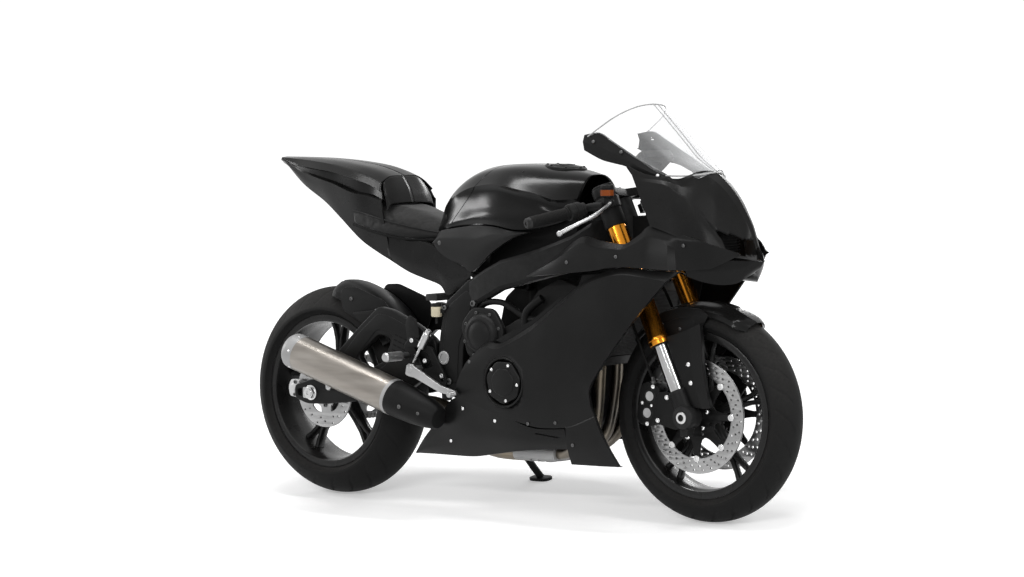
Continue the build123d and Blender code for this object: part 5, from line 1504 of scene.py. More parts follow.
def stationRows(stations):
    return [[(x, half, z) for half, z in edge] for x, *edge in stations]


def makeTank():
    bm = bmesh.new()
    addPanel(bm, stationRows(tank["stations"]), along=7, down=6, keen=(3,), lips=(10, 10, 0, 14))
    addGroove(bm, (592, 0, 886), (102, 0, -95), width=2.6, depth=1.8, where=lambda at: at.z > 826)
    makePiece("tankShell", bm, "tank_black", replaced=["fuel_tank"], both=True, angle=26)
    cap = bmesh.new()
    x, z = tank["cap"]
    up = Vector((0.12, 0, 0.99))
    addLathe(cap, [(-6, 62), (1.2, 61), (3.6, 58), (4.0, 48), (3.0, 46.4), (2.6, 44), (5.0, 42), (6.2, 38),
                   (6.6, 20)],
             (x, 0, z), up, 56)
    matrix = axisMatrix((x, 0, z), up)
    for turn in evenTurns(7):
        addBolt(cap, matrix @ Vector((53 * cos(turn), 53 * sin(turn), 3.6)), up, 3.6, 2.6)
    addPlate(cap, [roundedOutline(((-9, -24), (9, -24), (9, 24), (-9, 24)), 5)], 3.0,
             axisMatrix(Vector((x, 0, z)) + up * 6, up, (1, 0, 0)), edge=0.8)
    makePiece("tankCap", cap, "tank_black", look="control_black")
    slats = bmesh.new()
    for place in tank["louvres"]:
        for side in (-1, 1):
            path = [(place - 4, side * 66, 990.0), (place + 2, side * 86, 985), (place + 12, side * 106, 975.5)]
            addSweep(slats, path, 5.0, sides=10, steps=4, flat=0.42, upright=(1, 0, 0.2))
    makePiece("tankLouvres", slats, "tank_black", look="cover_satin")


def makeTankCovers():
    bm = bmesh.new()
    rungs = (
        ((476, 776), (475, 774), (474, 772), (474, 770)),
        ((499, 805), (498, 786), (497, 766), (496, 748)),
        ((545, 813), (542, 788), (539, 758), (536, 728)),
        ((600, 819), (600, 788), (601, 746), (602, 708)),
        ((653, 824), (651, 786), (648, 740), (645, 692)),
        ((738, 821), (736, 800), (732, 774), (727, 746)),
        ((816, 809), (816, 803), (816, 796), (816, 789)),
        ((876, 807), (876, 806.4), (876, 805.8), (876, 805)),
    )
    rows = []
    for rung in rungs:
        row = []
        for (x, z), lift in zip(rung, (-8, 1, 2, -2)):
            share = (x - 460) / 440
            row.append((x, 112 + 58 * min(1, share * 1.28) + lift, z))
        rows.append(row)
    addPanel(bm, rows, along=6, down=5, keen=(1,), lips=(4, 4, 12, 9))
    makePiece("tankSideCovers", bm, "cover_satin", replaced=["tank_covers"], both=True, shell=3.0, angle=28)
    makeBolts("tankCoverBolts", ((506, -120.5, 772),), "cover_satin", radius=7, height=3.0)


makeTank()
makeTankCovers()
print("tank")

# seat, tail, nose and screen
seat = {
    "stations": (
        # x, then (half width, z) from the middle of the top down to the pan
        (152, (0, 897), (50, 895), (86, 886), (104, 866), (108, 846), (104, 826)),
        (200, (0, 889), (52, 888), (92, 880), (112, 858), (116, 838), (112, 816)),
        (260, (0, 879), (54, 879), (96, 870), (116, 844), (120, 824), (116, 802)),
        (320, (0, 868), (52, 868), (92, 858), (112, 830), (116, 808), (112, 790)),
        (380, (0, 853), (46, 852), (80, 842), (100, 816), (104, 796), (100, 782)),
        (440, (0, 832), (34, 831), (58, 824), (78, 804), (82, 790), (80, 780)),
        (478, (0, 816), (22, 815), (40, 811), (56, 798), (60, 789), (58, 782)),
    ),
    "voxel": 0.006,      # metres
    "pressure": 4.0,
    "stiffness": 60,
    "mostSwell": 0.006,  # metres
    "frames": 20,
}


def makeSeat():
    # crowned cushion over the seat pan, blown up as cloth, then its seams
    stations = seat["stations"]
    bm = bmesh.new()
    rings = []
    for row in smoothAlong(stationRows(stations), 6):
        line = smoothLine(row, 4)
        right = [Vector((x, -half, z)) for x, half, z in line]
        left = [Vector((x, half, z)) for x, half, z in reversed(line[1:])]
        rings.append(left + right)
    addRings(bm, rings)
    cushion = makePiece("seatCushion", bm, "seat_vinyl", replaced=["rider_seat"], angle=70)
    blowUp(cushion)
    seams, trim = bmesh.new(), bmesh.new()
    for side in (-1, 1):
        welt = [(x, side * (edge[3][0] + 0.2), edge[3][1]) for x, *edge in stations]
        addSweep(seams, welt, 1.7, sides=8, steps=6)
        base = [(x, side * (edge[5][0] + 0.6), edge[5][1] - 3) for x, *edge in stations]
        addSweep(trim, base, 4.2, sides=10, steps=6, flat=0.7)
    across = [(206, y, 889 - abs(y) ** 2 * 0.0011) for y in (-92, -60, -30, 0, 30, 60, 92)]
    addSweep(seams, across, 1.5, sides=8, steps=5)
    makePiece("seatSeams", seams, "seat_vinyl", look="seam_thread")
    makePiece("seatBaseTrim", trim, "seat_vinyl", look="inner_black")


def blowUp(cushion):
    # a light pressure makes the cover taut and crowned; its base edge stays on the pan
    remesh = cushion.modifiers.new("evenMesh", "REMESH")
    remesh.mode = "VOXEL"
    remesh.voxel_size = seat["voxel"]
    bpy.context.view_layer.update()
    shape = bpy.data.meshes.new_from_object(cushion.evaluated_get(bpy.context.evaluated_depsgraph_get()))
    cushion.modifiers.remove(remesh)
    cushion.data = shape
    held = cushion.vertex_groups.new(name="base")
    toBike = bikeToRow.inverted()
    start = [vert.co.copy() for vert in shape.vertices]
    low = [place for place, co in enumerate(start) if (toBike @ co).z < 790 + 0.09 * (478 - (toBike @ co).x)]
    held.add(low, 1.0, "REPLACE")
    cloth = cushion.modifiers.new("cover", "CLOTH")
    cloth.settings.effector_weights.gravity = 0.0
    cloth.settings.use_pressure = True
    cloth.settings.uniform_pressure_force = seat["pressure"]
    cloth.settings.vertex_group_mass = "base"
    cloth.settings.quality = 5
    cloth.settings.tension_stiffness = cloth.settings.compression_stiffness = seat["stiffness"]
    scene = bpy.context.scene
    for step in range(1, seat["frames"] + 1):
        scene.frame_set(step)
    blown = bpy.data.meshes.new_from_object(cushion.evaluated_get(bpy.context.evaluated_depsgraph_get()))
    scene.frame_set(1)
    cushion.modifiers.remove(cloth)
    for vert, first in zip(blown.vertices, start):
        move = vert.co - first
        if move.length > seat["mostSwell"]:
            vert.co = first + move.normalized() * seat["mostSwell"]
    blown.shade_smooth()
    cushion.data = blown
    rounder = cushion.modifiers.new("rounder", "SUBSURF")
    rounder.levels = rounder.render_levels = 1


tail = {
    # rungs: middle of the deck, deck edge, duct's upper edge, duct's lower edge, bottom edge
    "rungs": (
        ((-213, 1027), (-212, 1025), (-209, 1022), (-204, 1018), (-196, 1014)),
        ((-120, 1025), (-120, 1019), (-112, 1002), (-104, 984), (-96, 944)),
        ((-30, 1021), (-30, 1012), (-16, 990), (-8, 962), (4, 891)),
        ((60, 1013), (60, 1001), (66, 980), (72, 944), (80, 842)),
        ((150, 1000), (150, 984), (158, 962), (162, 918), (168, 778)),
        ((215, 984), (215, 966), (226, 944), (230, 908), (240, 740)),
        ((262, 967), (262, 948), (274, 924), (282, 894), (296, 716)),
    ),
    "rail": (
        ((284, 800), (284, 770), (286, 740), (288, 718)),
        ((363, 776), (363, 745), (363, 716), (363, 685)),
        ((430, 774), (430, 742), (430, 706), (430, 666)),
        ((486, 758), (488, 724), (490, 690), (494, 648)),
        ((540, 726), (540, 698), (536, 662), (528, 620)),
        ((638, 690), (634, 684), (630, 677), (624, 668)),
    ),
    "ductDepth": 26.0,
}


def makeTail():
    bm = bmesh.new()
    rows = []
    count = len(tail["rungs"])
    for place, rung in enumerate(tail["rungs"]):
        deck, edge, upper, lower, bottom = rung
        side = [halfAt(tailSections, x, z) for x, z in rung]
        depth = tail["ductDepth"] * sin(pi * max(0, place - 1) / (count - 1.5)) if 1 < place else 0.0
        half = side[1] * 0.86
        x, z = (lower[0] + bottom[0]) / 2, (lower[1] + bottom[1]) / 2
        rows.append([(deck[0], 0.0, deck[1]), (deck[0], half * 0.6, deck[1] - 1.5), (edge[0], half, edge[1]),
                     (upper[0], side[2], upper[1]), (upper[0], side[2] - depth, upper[1] - 5),
                     (lower[0], side[3] - depth * 0.85, lower[1] + 5), (lower[0], side[3] + 1, lower[1]),
                     (x, halfAt(tailSections, x, z) + 1, z), (bottom[0], side[4] - 2, bottom[1])])
    addPanel(bm, rows, along=7, down=4, keen=(2, 3, 4, 5, 6), lips=(0, 6, 0, 16))
    railRows = skinRows(tail["rail"], (-4, 0, 1, -4), tailSections)
    addPanel(bm, railRows, along=6, down=5, lips=(0, 4, 12, 10))
    # front face of the hump behind the rider
    front = tail["rungs"][-1]
    face = [[(262, 0.0, 967), (290, 0.0, 925), (302, 0.0, 886)],
            [(262, 55.0, 965.5), (288, 58.0, 922), (300, 60.0, 885)],
            [(262, 86.0, 950), (284, 90.0, 915), (296, 94.0, 880)],
            [(front[2][0], 99.0, front[2][1]), (284, 103.0, 900), (292, 107.0, 862)]]
    addPanel(bm, face, along=5, down=5)
    makePiece("tailShell", bm, "tail_black", replaced=["tail_cowl"], both=True, shell=2.5, angle=26)
    tip = bmesh.new()
    rings = []
    for x, half, low, high in ((-213, 17, 1013, 1024), (-208, 23, 1006, 1024), (-196, 26, 1002, 1022),
                               (-168, 30, 986, 1018), (-150, 30, 980, 1014)):
        rings.append([Vector((x, -half, low + 4)), Vector((x, -half, high - 3)), Vector((x, -half + 4, high)),
                      Vector((x, half - 4, high)), Vector((x, half, high - 3)), Vector((x, half, low + 4)),
                      Vector((x, half - 5, low)), Vector((x, -half + 5, low))])
    addRings(tip, rings)
    makePiece("tailTip", tip, "tail_black", look="tip_grey_and_screen_glint", edge=1.2)
    # two raised ribs on each side behind the duct's front end
    ribs = bmesh.new()
    for side in (-1, 1):
        for x in (232, 250):
            path = [(x - 6, side * 99, 936), (x, side * 88, 950), (x - 4, side * 60, 963),
                    (x - 10, side * 30, 968)]
            addSweep(ribs, path, 4.0, sides=8, steps=4, flat=0.5)
    makePiece("tailRibs", ribs, "tail_black", look="cover_satin")


nose = {
    # rows run from the screen's edge, or the middle of the top, down to the lower edge: x, half width, z
    "rows": (
        ((1214, 136, 990), (1222, 141, 978), (1231, 145, 964), (1240, 149, 950), (1278, 164, 890),
         (1317, 181, 828)),
        ((1266, 135, 970), (1270, 137, 964), (1275, 139, 957), (1283, 144, 947), (1318, 158, 886),
         (1346, 176, 818)),
        ((1320, 122, 960), (1322, 124, 956), (1326, 126, 950), (1338, 133, 937), (1360, 150, 876),
         (1386, 166, 802)),
        ((1362, 105, 955), (1364, 102, 950), (1366, 104, 936), (1374, 121, 912), (1398, 136, 856),
         (1424, 150, 784)),
        ((1394, 52, 974), (1392, 62, 964), (1396, 84, 930), (1403, 109, 891), (1432, 118, 838),
         (1458, 128, 766)),
        ((1411, 0, 970), (1416, 34, 955), (1424, 66, 908), (1433, 94, 856), (1460, 97, 812), (1482, 104, 752)),
        ((1446, 0, 944), (1447, 27, 932), (1452, 52, 872), (1459, 79, 820), (1484, 80, 782), (1503, 85, 741)),
        ((1483, 0, 904), (1482, 22, 893), (1487, 38, 846), (1490, 56, 800), (1508, 60, 770), (1522, 64, 738)),
        ((1510, 0, 862), (1508, 18, 852), (1511, 28, 820), (1514, 38, 788), (1526, 42, 764), (1536, 46, 735)),
        ((1530, 0, 824), (1528, 13, 817), (1530, 20, 796), (1533, 26, 776), (1540, 29, 758), (1546, 31, 731)),
        ((1549, 0, 766), (1548, 6, 763), (1549, 9, 756), (1551, 12, 750), (1554, 14, 742), (1556, 16, 728)),
    ),
    # top and bottom of the lip under the intake
    "chin": (
        ((1392, 148, 730), (1404, 136, 690)), ((1440, 128, 731), (1442, 114, 674)),
        ((1490, 94, 731), (1480, 84, 665)), ((1530, 50, 729), (1510, 50, 668)),
        ((1556, 20, 727), (1528, 24, 684)), ((1567, 0, 725), (1537, 0, 695)),
    ),
}


def keepRight(bm):
    # no vertex past the middle plane, so that both halves meet on it
    for vert in bm.verts:
        vert.co.y = min(vert.co.y, 0.0)


def makeNose():
    bm = bmesh.new()
    addPanel(bm, nose["rows"], along=7, down=6, keen=(1, 2, 3), lips=(5, 0, 0, 8))
    keepRight(bm)
    # the intake, open either side of a narrow pillar
    inside = []
    for face in bm.faces:
        at = face.calc_center_median()
        if at.x > 1456 and 9 < -at.y < 78 and 744 < at.z < 786 + 0.55 * max(-at.y - 25, 0):
            inside.append(face)
    bmesh.ops.delete(bm, geom=inside, context="FACES")
    makePiece("noseShell", bm, "cowl_black", replaced=["upper_cowl"], both=True, shell=3.0, angle=24)
    chin = bmesh.new()
    rungs = []
    for (x, half, z), (lowX, lowHalf, lowZ) in nose["chin"]:
        middle = ((x + lowX) / 2 + 4, (half + lowHalf) / 2 + (2 if half else 0), (z + lowZ) / 2)
        rungs.append([(x - 24, max(half - 18, 0), z + 3), (x, half, z), middle, (lowX, lowHalf, lowZ),
                      (lowX - 36, max(lowHalf - 26, 0), lowZ + 6)])
    addPanel(chin, rungs, along=6, down=5, keen=(1, 3))
    keepRight(chin)
    makePiece("chinLip", chin, "cowl_black", look="tank_black", both=True, shell=3.0, angle=24)
    grille = bmesh.new()
    for step in range(9):
        z = 748 + 7.6 * step
        addSweep(grille, [(1436, -70, z), (1458, -40, z), (1468, 0, z), (1458, 40, z), (1436, 70, z)], 1.0,
                 sides=6, steps=4)
    for y in range(-70, 71, 10):
        x = 1468 - 0.0064 * y * y
        addSweep(grille, [(x, y, 744), (x, y, 812)], 0.8, sides=6, steps=1)
    makePiece("intakeMesh", grille, "cowl_black", look="inner_black")


screenStations = (
    # x, apex height, edge height, edge half width
    (1040, 1316, 1042, 130), (1150, 1211, 1012, 131), (1250, 1112, 984, 128), (1350, 1010, 946, 110),
    (1412, 968, 930, 64),
)


def screenAt(x):
    for before, after in zip(screenStations, screenStations[1:]):
        if x <= after[0]:
            share = (x - before[0]) / (after[0] - before[0])
            return [a + (b - a) * share for a, b in zip(before[1:], after[1:])]
    return list(screenStations[-1][1:])


def screenPoint(x, width):
    # width is the share of the edge's half width, 0 in the middle
    apex, edge, half = screenAt(x)
    return (x, half * width, edge + (apex - edge) * max(0.0, 1 - width ** 2.4) ** 0.5)


def screenWidth(x, z):
    apex, edge = screenAt(x)[:2]
    share = min(max((z - edge) / (apex - edge), 0.0), 1.0)
    return (1 - share * share) ** (1 / 2.4)


def rimPlace(width):
    # how far forward the top edge, a straight cut in side view, meets the screen at this width
    low, high = 1040.0, 1240.0
    for _ in range(24):
        x = (low + high) / 2
        if screenPoint(x, width)[2] > 1074 + (x - 1066) * 0.6412:
            low = x
        else:
            high = x
    return low


def makeScreen():
    # top edge at the middle and at the side, then forward to the front edge
    middle = ((1197, 1158), (1232, 1124), (1270, 1087), (1310, 1048), (1350, 1009), (1382, 988), (1409, 969))
    side = ((1066, 1074), (1104, 1083), (1150, 1058), (1196, 1032), (1240, 1008), (1323, 964), (1400, 956))
    bm = bmesh.new()
    rows = []
    topWidth = screenWidth(*side[0])
    for (x0, z0), (x1, z1) in zip(middle, side):
        width = screenWidth(x1, z1)
        row = []
        for step in range(9):
            share = step / 8
            eased = min(max((1197 - rimPlace(share * topWidth)) / 131, 0.0), 1.0)
            point = screenPoint(x0 + (x1 - x0) * eased, width * share)
            row.append(point)
        rows.append(row)
    addPanel(bm, rows, along=6, down=3)
    mirrorAll(bm)
    bmesh.ops.remove_doubles(bm, verts=bm.verts, dist=0.3)
    makePiece("screenGlass", bm, "screen_clear", replaced=["windscreen"], shell=2.6, angle=60)
    # grey rods along the screen's top and front edges and its fold: painted highlights where the clear sheet
    # catches the light
    edge = bmesh.new()
    rim = []
    for share in [step / 12 for step in range(13)]:
        rim.append(screenPoint(rimPlace(share * topWidth), share * topWidth))
    line = [(x, -y, z) for x, y, z in reversed(rim)] + rim[1:]
    addSweep(edge, line, 2.0, sides=8, steps=3)
    half = screenPoint(1323, screenWidth(1323, 964))[1]
    front = [(1323, -half, 964), (1368, -86, 962), (1398, -52, 965), (1408, -22, 968), (1410, 0, 969)]
    addSweep(edge, front + [(x, -y, z) for x, y, z in reversed(front[:-1])], 2.2, sides=8, steps=5)
    # the folded middle of the screen is drawn as two fine grey lines, a painted highlight
    for share in (0.0, 0.16):
        addSweep(edge, [screenPoint(x, share) for x in (1199, 1232, 1270, 1310, 1350, 1382, 1404)], 1.5,
                 sides=8, steps=3)
    makePiece("screenGlintLines", edge, "screen_clear", look="tip_grey_and_screen_glint")
    band = bmesh.new()
    rungs = (((1052, 1076), (1052, 1060), (1052, 1036)), ((1104, 1081), (1106, 1046), (1110, 1010)),
             ((1150, 1057), (1150, 1030), (1150, 1000)), ((1196, 1031), (1196, 1012), (1196, 990)),
             ((1240, 1007), (1238, 992), (1236, 973)), ((1290, 981), (1288, 970), (1285, 954)),
             ((1323, 964), (1322, 958), (1320, 949)), ((1344, 949), (1344, 947), (1344, 944)))
    rows = []
    for rung in rungs:
        (x0, z0), (x1, z1), (x2, z2) = rung
        top = screenPoint(x0, screenWidth(x0, z0))
        rows.append([(x0, top[1] - 3, z0 + 3), (x1, screenAt(x1)[2] + 4, z1), (x2, screenAt(x2)[2] - 2, z2)])
    addPanel(band, rows, along=5, down=5, keen=(1,), lips=(6, 3, 3, 8))
    makePiece("screenBand", band, "surround_black", replaced=["screen_surround"], both=True, shell=2.6,
              angle=24)
    for name, look, places in (("screenBolts", "bolt_silver", ((1302, 964),)),
                               ("bandBolts", "bolt_dark", ((1186, 1030), (1090, 1060)))):
        places = [(x, -screenAt(x)[2] - 4, z) for x, z in places]
        makeBolts(name, places, "surround_black", look=look, direction=(0, -0.92, 0.38), radius=5.4, height=4.0)


makeSeat()
makeTail()
makeNose()
makeScreen()
print("seat, tail, nose and screen")

# engine, exhaust, frame, swingarm and rear end
engine = {
    "block": ((584, 240), (584, 430), (640, 500), (780, 540), (868, 640), (950, 676), (1040, 640), (986, 520),
              (976, 380), (958, 262), (900, 210), (640, 205)),
    "case": ((684, 205), (684, 500), (780, 540), (820, 562), (1006, 562), (986, 520), (976, 380), (958, 262),
             (900, 210)),
    "pulse": (815.0, 384.0),
    "clutch": (698.0, 512.0),
    "waist": 118.0,
    "half": 150.0,
}


def makeEngine():
    bm = bmesh.new()
    waist, half = engine["waist"], engine["half"]
    addBlock(bm, engine["block"], -waist, waist, 14, edge=4, rounds=1)
    for inner in (1 - half, waist - 2):
        addBlock(bm, engine["case"], inner, inner + half - waist + 1, 16, edge=5)
    # cylinder fins and case webs as raised bars
    for side in (-1, 1):
        for step in range(7):
            z = 560 - 13 * step
            addSweep(bm, [(836 - step * 4, side * 150, z), (990 - step * 2, side * 150, z)], 2.6, sides=6,
                     steps=1)
        for x, z, turn, length in ((742, 470, 60, 70), (770, 440, 80, 90), (700, 436, 30, 60),
                                   (900, 330, 95, 110), (940, 320, 92, 130)):
            ahead = Vector((cos(radians(turn)), 0, sin(radians(turn)))) * length / 2
            middle = Vector((x, side * 150, z))
            addSweep(bm, [tuple(middle - ahead), tuple(middle + ahead)], 4.0, sides=8, steps=1, flat=0.8)
    # sprocket shaft end on the left
    addLathe(bm, [(95, 12), (95, 26), (112, 26), (113, 22), (116, 14)], (630, 0, 335), toLeft, 30)
    makePiece("engineBlock", bm, "engine_dark", replaced=["engine_block"], angle=36)
    covers, bolts, clutchBolts = bmesh.new(), bmesh.new(), bmesh.new()
    x, z = engine["pulse"]
    centre = Vector((x, 0, z))
    for reach, inner, outer, edge in ((64, 152, 218, 4), (43, 214.6, 220.6, 2.4)):
        heptagon = [(reach * cos(turn), reach * sin(turn)) for turn in evenTurns(7, 0.2)]
        addBlock(covers, heptagon, inner, outer, 12, edge=edge, centre=(x, z))
    for turn in evenTurns(5, 1.15):
        addBolt(bolts, onRing(centre, 53, turn, -217), toRight, 4.8, 4.2)
    cx, cz = engine["clutch"]
    addLathe(covers, [(150, 62), (166, 61.5), (176, 57), (181, 50), (182, 44), (180, 41), (181, 36),
                      (184.5, 30), (185.6, 14), (185.8, 2)], (cx, 0, cz), toRight, 60)
    cover = ((640, 450), (618, 540), (660, 590), (740, 588), (778, 530), (770, 452), (716, 428))
    addBlock(covers, cover, 150, 166, 20, edge=4)
    for turn in evenTurns(8, 0.3):
        place = onRing(Vector((cx, 0, cz)), 66, turn, -165)
        addLathe(covers, [(-14, 8), (-1, 8), (0, 7)], place, toRight, 16)
        addBolt(clutchBolts, place, toRight, 4.8, 4.2)
    addLathe(covers, [(150, 66), (196, 65), (206, 60), (211, 50), (212, 40), (209.5, 37), (210.5, 20),
                      (213.5, 18), (213.8, 3)],
             centre, toLeft, 60)
    for turn in evenTurns(9):
        addBolt(bolts, onRing(centre, 58, turn, 205), toLeft, 5, 5)
    cover = ((582, 264), (582, 330), (618, 336), (622, 400), (680, 408), (680, 264))
    addBlock(covers, cover, -149.5, -118.5, 10, edge=4)
    makePiece("engineCovers", covers, "cover_black", replaced=["engine_covers"], angle=32)
    makePiece("clutchBolts", clutchBolts, "cover_black", look="bolt_dark")
    makePiece("engineBolts", bolts, "cover_black", look="bolt_silver")
    # water and breather hoses beside the clutch cover
    hose = bmesh.new()
    addSweep(hose, [(640, -126, 560), (690, -140, 600), (760, -144, 604), (830, -142, 570), (880, -140, 560)],
             9, sides=16, steps=7)
    for side in (-1, 1):
        path = [(800, side * 146, 470), (840, side * 150, 520), (850, side * 146, 580), (900, side * 138, 620)]
        addSweep(hose, path, 12, sides=16, steps=7)
    makePiece("engineHoses", hose, "engine_dark", look="hose_black")


def makeRadiator():
    # local x ahead, y to the left and z up its lean
    foot, up = Vector((1080, 0, 430)), Vector((0.13, 0, 0.99)).normalized()
    frameOf = Matrix((toLeft.cross(up).normalized(), toLeft, up)).transposed().to_4x4()
    frameOf.translation = foot
    tanks, fins = bmesh.new(), bmesh.new()
    wall, height = 30.0, 232.0
    outline = [(0, -104), (52, -172), (52 - wall, -180), (-wall, -112), (-wall, 112), (52 - wall, 180),
               (52, 172), (0, 104)]
    for low in (0, height - 26):
        addPlate(tanks, [roundedOutline(outline, 6)], 26, frameOf @ Matrix.Translation((0, 0, low)), edge=3,
                 rounds=2)
    core = [(x - 4 if x in (0, 52) else x + 4, y) for x, y in outline]
    addPlate(tanks, [core], height - 30, frameOf @ Matrix.Translation((0, 0, 15)), edge=0.2)

    def addRod(bm, first, second, radius, sides):
        addSweep(bm, [tuple(frameOf @ Vector(first)), tuple(frameOf @ Vector(second))], radius, sides=sides,
                 steps=1)

    for side in (-1, 1):
        for x, y in ((0, 104), (52, 172)):
            addRod(tanks, (x - 1, side * y, 4), (x - 1, side * y, height - 4), 5, 10)
    for row in range(44):
        z = 30 + row * 4.0
        line = ((49, -168, z), (-1.5, -102, z), (-1.5, 102, z), (49, 168, z))
        for first, second in zip(line, line[1:]):
            addRod(fins, first, second, 0.9, 4)
    for column in range(34):
        y = -99 + column * 6
        addRod(fins, (-2.4, y, 28), (-2.4, y, height - 28), 0.6, 4)
    makePiece("radiatorTanks", tanks, "radiator_dark", replaced=["radiator"])
    makePiece("radiatorFins", fins, "radiator_dark", look="fin_grey")


exhaust = {
    "headerY": (-112.0, -40.0, 40.0, 112.0),
    "can": (Vector((394.0, -200.0, 321.0)), Vector((-20.0, -200.0, 451.0))),
    "canRadius": 54.0,
    "link": ((800, -44, 170), (640, -52, 176), (545, -60, 232), (490, -112, 290), (446, -176, 306),
             (414, -196, 315)),
}


def makeExhaust():
    pipes, box, bands = bmesh.new(), bmesh.new(), bmesh.new()
    for y in exhaust["headerY"]:
        path = [(1008, y, 572), (1026, y, 552), (1033, y, 520), (1030, y, 460), (1024, y, 380),
                (1014, y * 0.9 - 2, 300), (998, y * 0.8 - 4, 238), (968, y * 0.66 - 12, 198),
                (926, y * 0.5 - 20, 177), (870, y * 0.4 - 30, 172), (806, y * 0.3 - 40, 170)]
        addSweep(pipes, path, 17, sides=24, steps=4)
        addLathe(bands, [(-7, 17), (-7, 23), (4, 24), (6, 17)], (1020, y, 560), (0.62, 0, -0.78), 24)
    addSweep(pipes, exhaust["link"], 27, sides=30, steps=7)
    makePiece("headerPipes", pipes, "header_steel", replaced=["exhaust_headers"])
    sections = ((902, 58, 22), (880, 60, 23), (820, 52, 24.5), (750, 43, 25.5), (738, 41, 25))
    addRings(box, [[Vector((x, y - 45, z + 172)) for y, z in bluntLoop(half, tall, 0.55)]
                   for x, half, tall in sections])
    for x in (868, 838, 808):
        addSweep(box, [(x, -94, 151), (x - 4, -60, 146.8), (x - 4, -30, 146.8), (x, 2, 151)], 2.2, sides=8,
                 steps=3)
    makePiece("collectorBox", box, "header_steel", look="cast_grey")
    makePiece("headerFlanges", bands, "header_steel", look="bolt_dark")


def makeSilencer():
    start, end = exhaust["can"]
    length, way = (end - start).length, (end - start).normalized()
    can, band, rivets, boreShade = bmesh.new(), bmesh.new(), bmesh.new(), bmesh.new()
    r = exhaust["canRadius"]
    addLathe(can, [(0, r - 0.6), (6, r - 0.2), (length * 0.5, r - 0.2), (length - 44, r - 0.4)], start, way, 72)
    addLathe(band, [(length - 46, r - 2), (length - 45, r), (length - 18, r), (length - 10, r - 1.5),
                    (length - 2, r - 7), (length, r - 10), (length, 28), (length - 4, 26), (length - 30, 26)],
             start, way, 72)
    addLathe(band, [(3, r - 1), (3.6, r), (16, r), (16.6, r - 1)], start, way, 72, ringed=True)
    # painted shade: a dark sleeve and a dark disc close the outlet a little way in, standing for the depth of the
    # bore
    addLathe(boreShade, [(length - 32, 26), (length - 32, 3)], start, way, 36)
    addLathe(boreShade, [(length - 30, 25.9), (length - 20, 25.9)], start, way, 36)
    matrix = axisMatrix(start, way, upward)
    for turn in (0.5, 1.6, 2.7, 3.8, 4.9, 6.0):
        place = matrix @ Vector((r * cos(turn) * 0.995, r * sin(turn) * 0.995, length - 33))
        outward = (matrix @ Vector((cos(turn), sin(turn), 0)) - matrix @ Vector((0, 0, 0))).normalized()
        addLathe(rivets, [(-2, 4), (0, 4), (1.2, 3), (1.6, 1)], place, outward, 14)
    makePiece("silencerBody", can, "silencer_titanium", replaced=["silencer"], angle=50)
    makePiece("silencerEndBand", band, "silencer_titanium", look="cast_grey", angle=30)
    makePiece("silencerRivets", rivets, "silencer_titanium", look="bolt_silver")
    makePiece("silencerBoreShade", boreShade, "silencer_titanium", look="duct_black")
    shroud, bolt = bmesh.new(), bmesh.new()
    rings = []
    for place, radius in ((Vector((392, -200, 321.6)), 56), (Vector((420, -199.5, 313)), 56),
                          (Vector((470, -198, 296)), 52), (Vector((512, -195, 282)), 46),
                          (Vector((546, -192, 270)), 37.6), (Vector((552, -191.5, 268)), 32)):
        matrix = axisMatrix(place, (-0.951, 0, 0.309), upward)
        ring = []
        for turn in evenTurns(48):
            reach = radius * (1 - 0.05 * max(0, sin(2 * turn + 0.6)))
            ring.append(matrix @ Vector((reach * cos(turn), reach * sin(turn), 0)))
        rings.append(ring)
    addRings(shroud, list(reversed(rings)))
    makePiece("silencerShroud", shroud, "shroud_black", replaced=["silencer_shroud"], angle=40)
    addBolt(bolt, Vector((452, -253.5, 302)), (0.05, -0.99, 0), 6, 3, "dome")
    addBolt(bolt, Vector((512, -240, 284)), (0.2, -0.97, 0), 5, 2.6, "dome")
    makePiece("shroudBolts", bolt, "shroud_black", look="bolt_dark")


makeEngine()
makeRadiator()
makeExhaust()
makeSilencer()
print("engine and exhaust")

frameShape = {
    "spar": (
        # x, inner and outer half width, low and high z
        (640, 121, 150, 585, 672), (700, 125, 156, 612, 702), (760, 128, 160, 640, 728),
        (830, 129, 161, 656, 744), (900, 128, 160, 672, 762), (950, 114, 148, 684, 780),
        (1000, 96, 132, 695, 800), (1046, 62, 100, 712, 835), (1072, 16, 58, 722, 852),
    ),
    "plate": ((640, 672), (547, 600), (526, 520), (517, 462), (523, 404), (545, 345), (590, 338), (612, 360),
              (606, 392), (612, 479), (652, 553), (672, 611), (668, 672)),
}


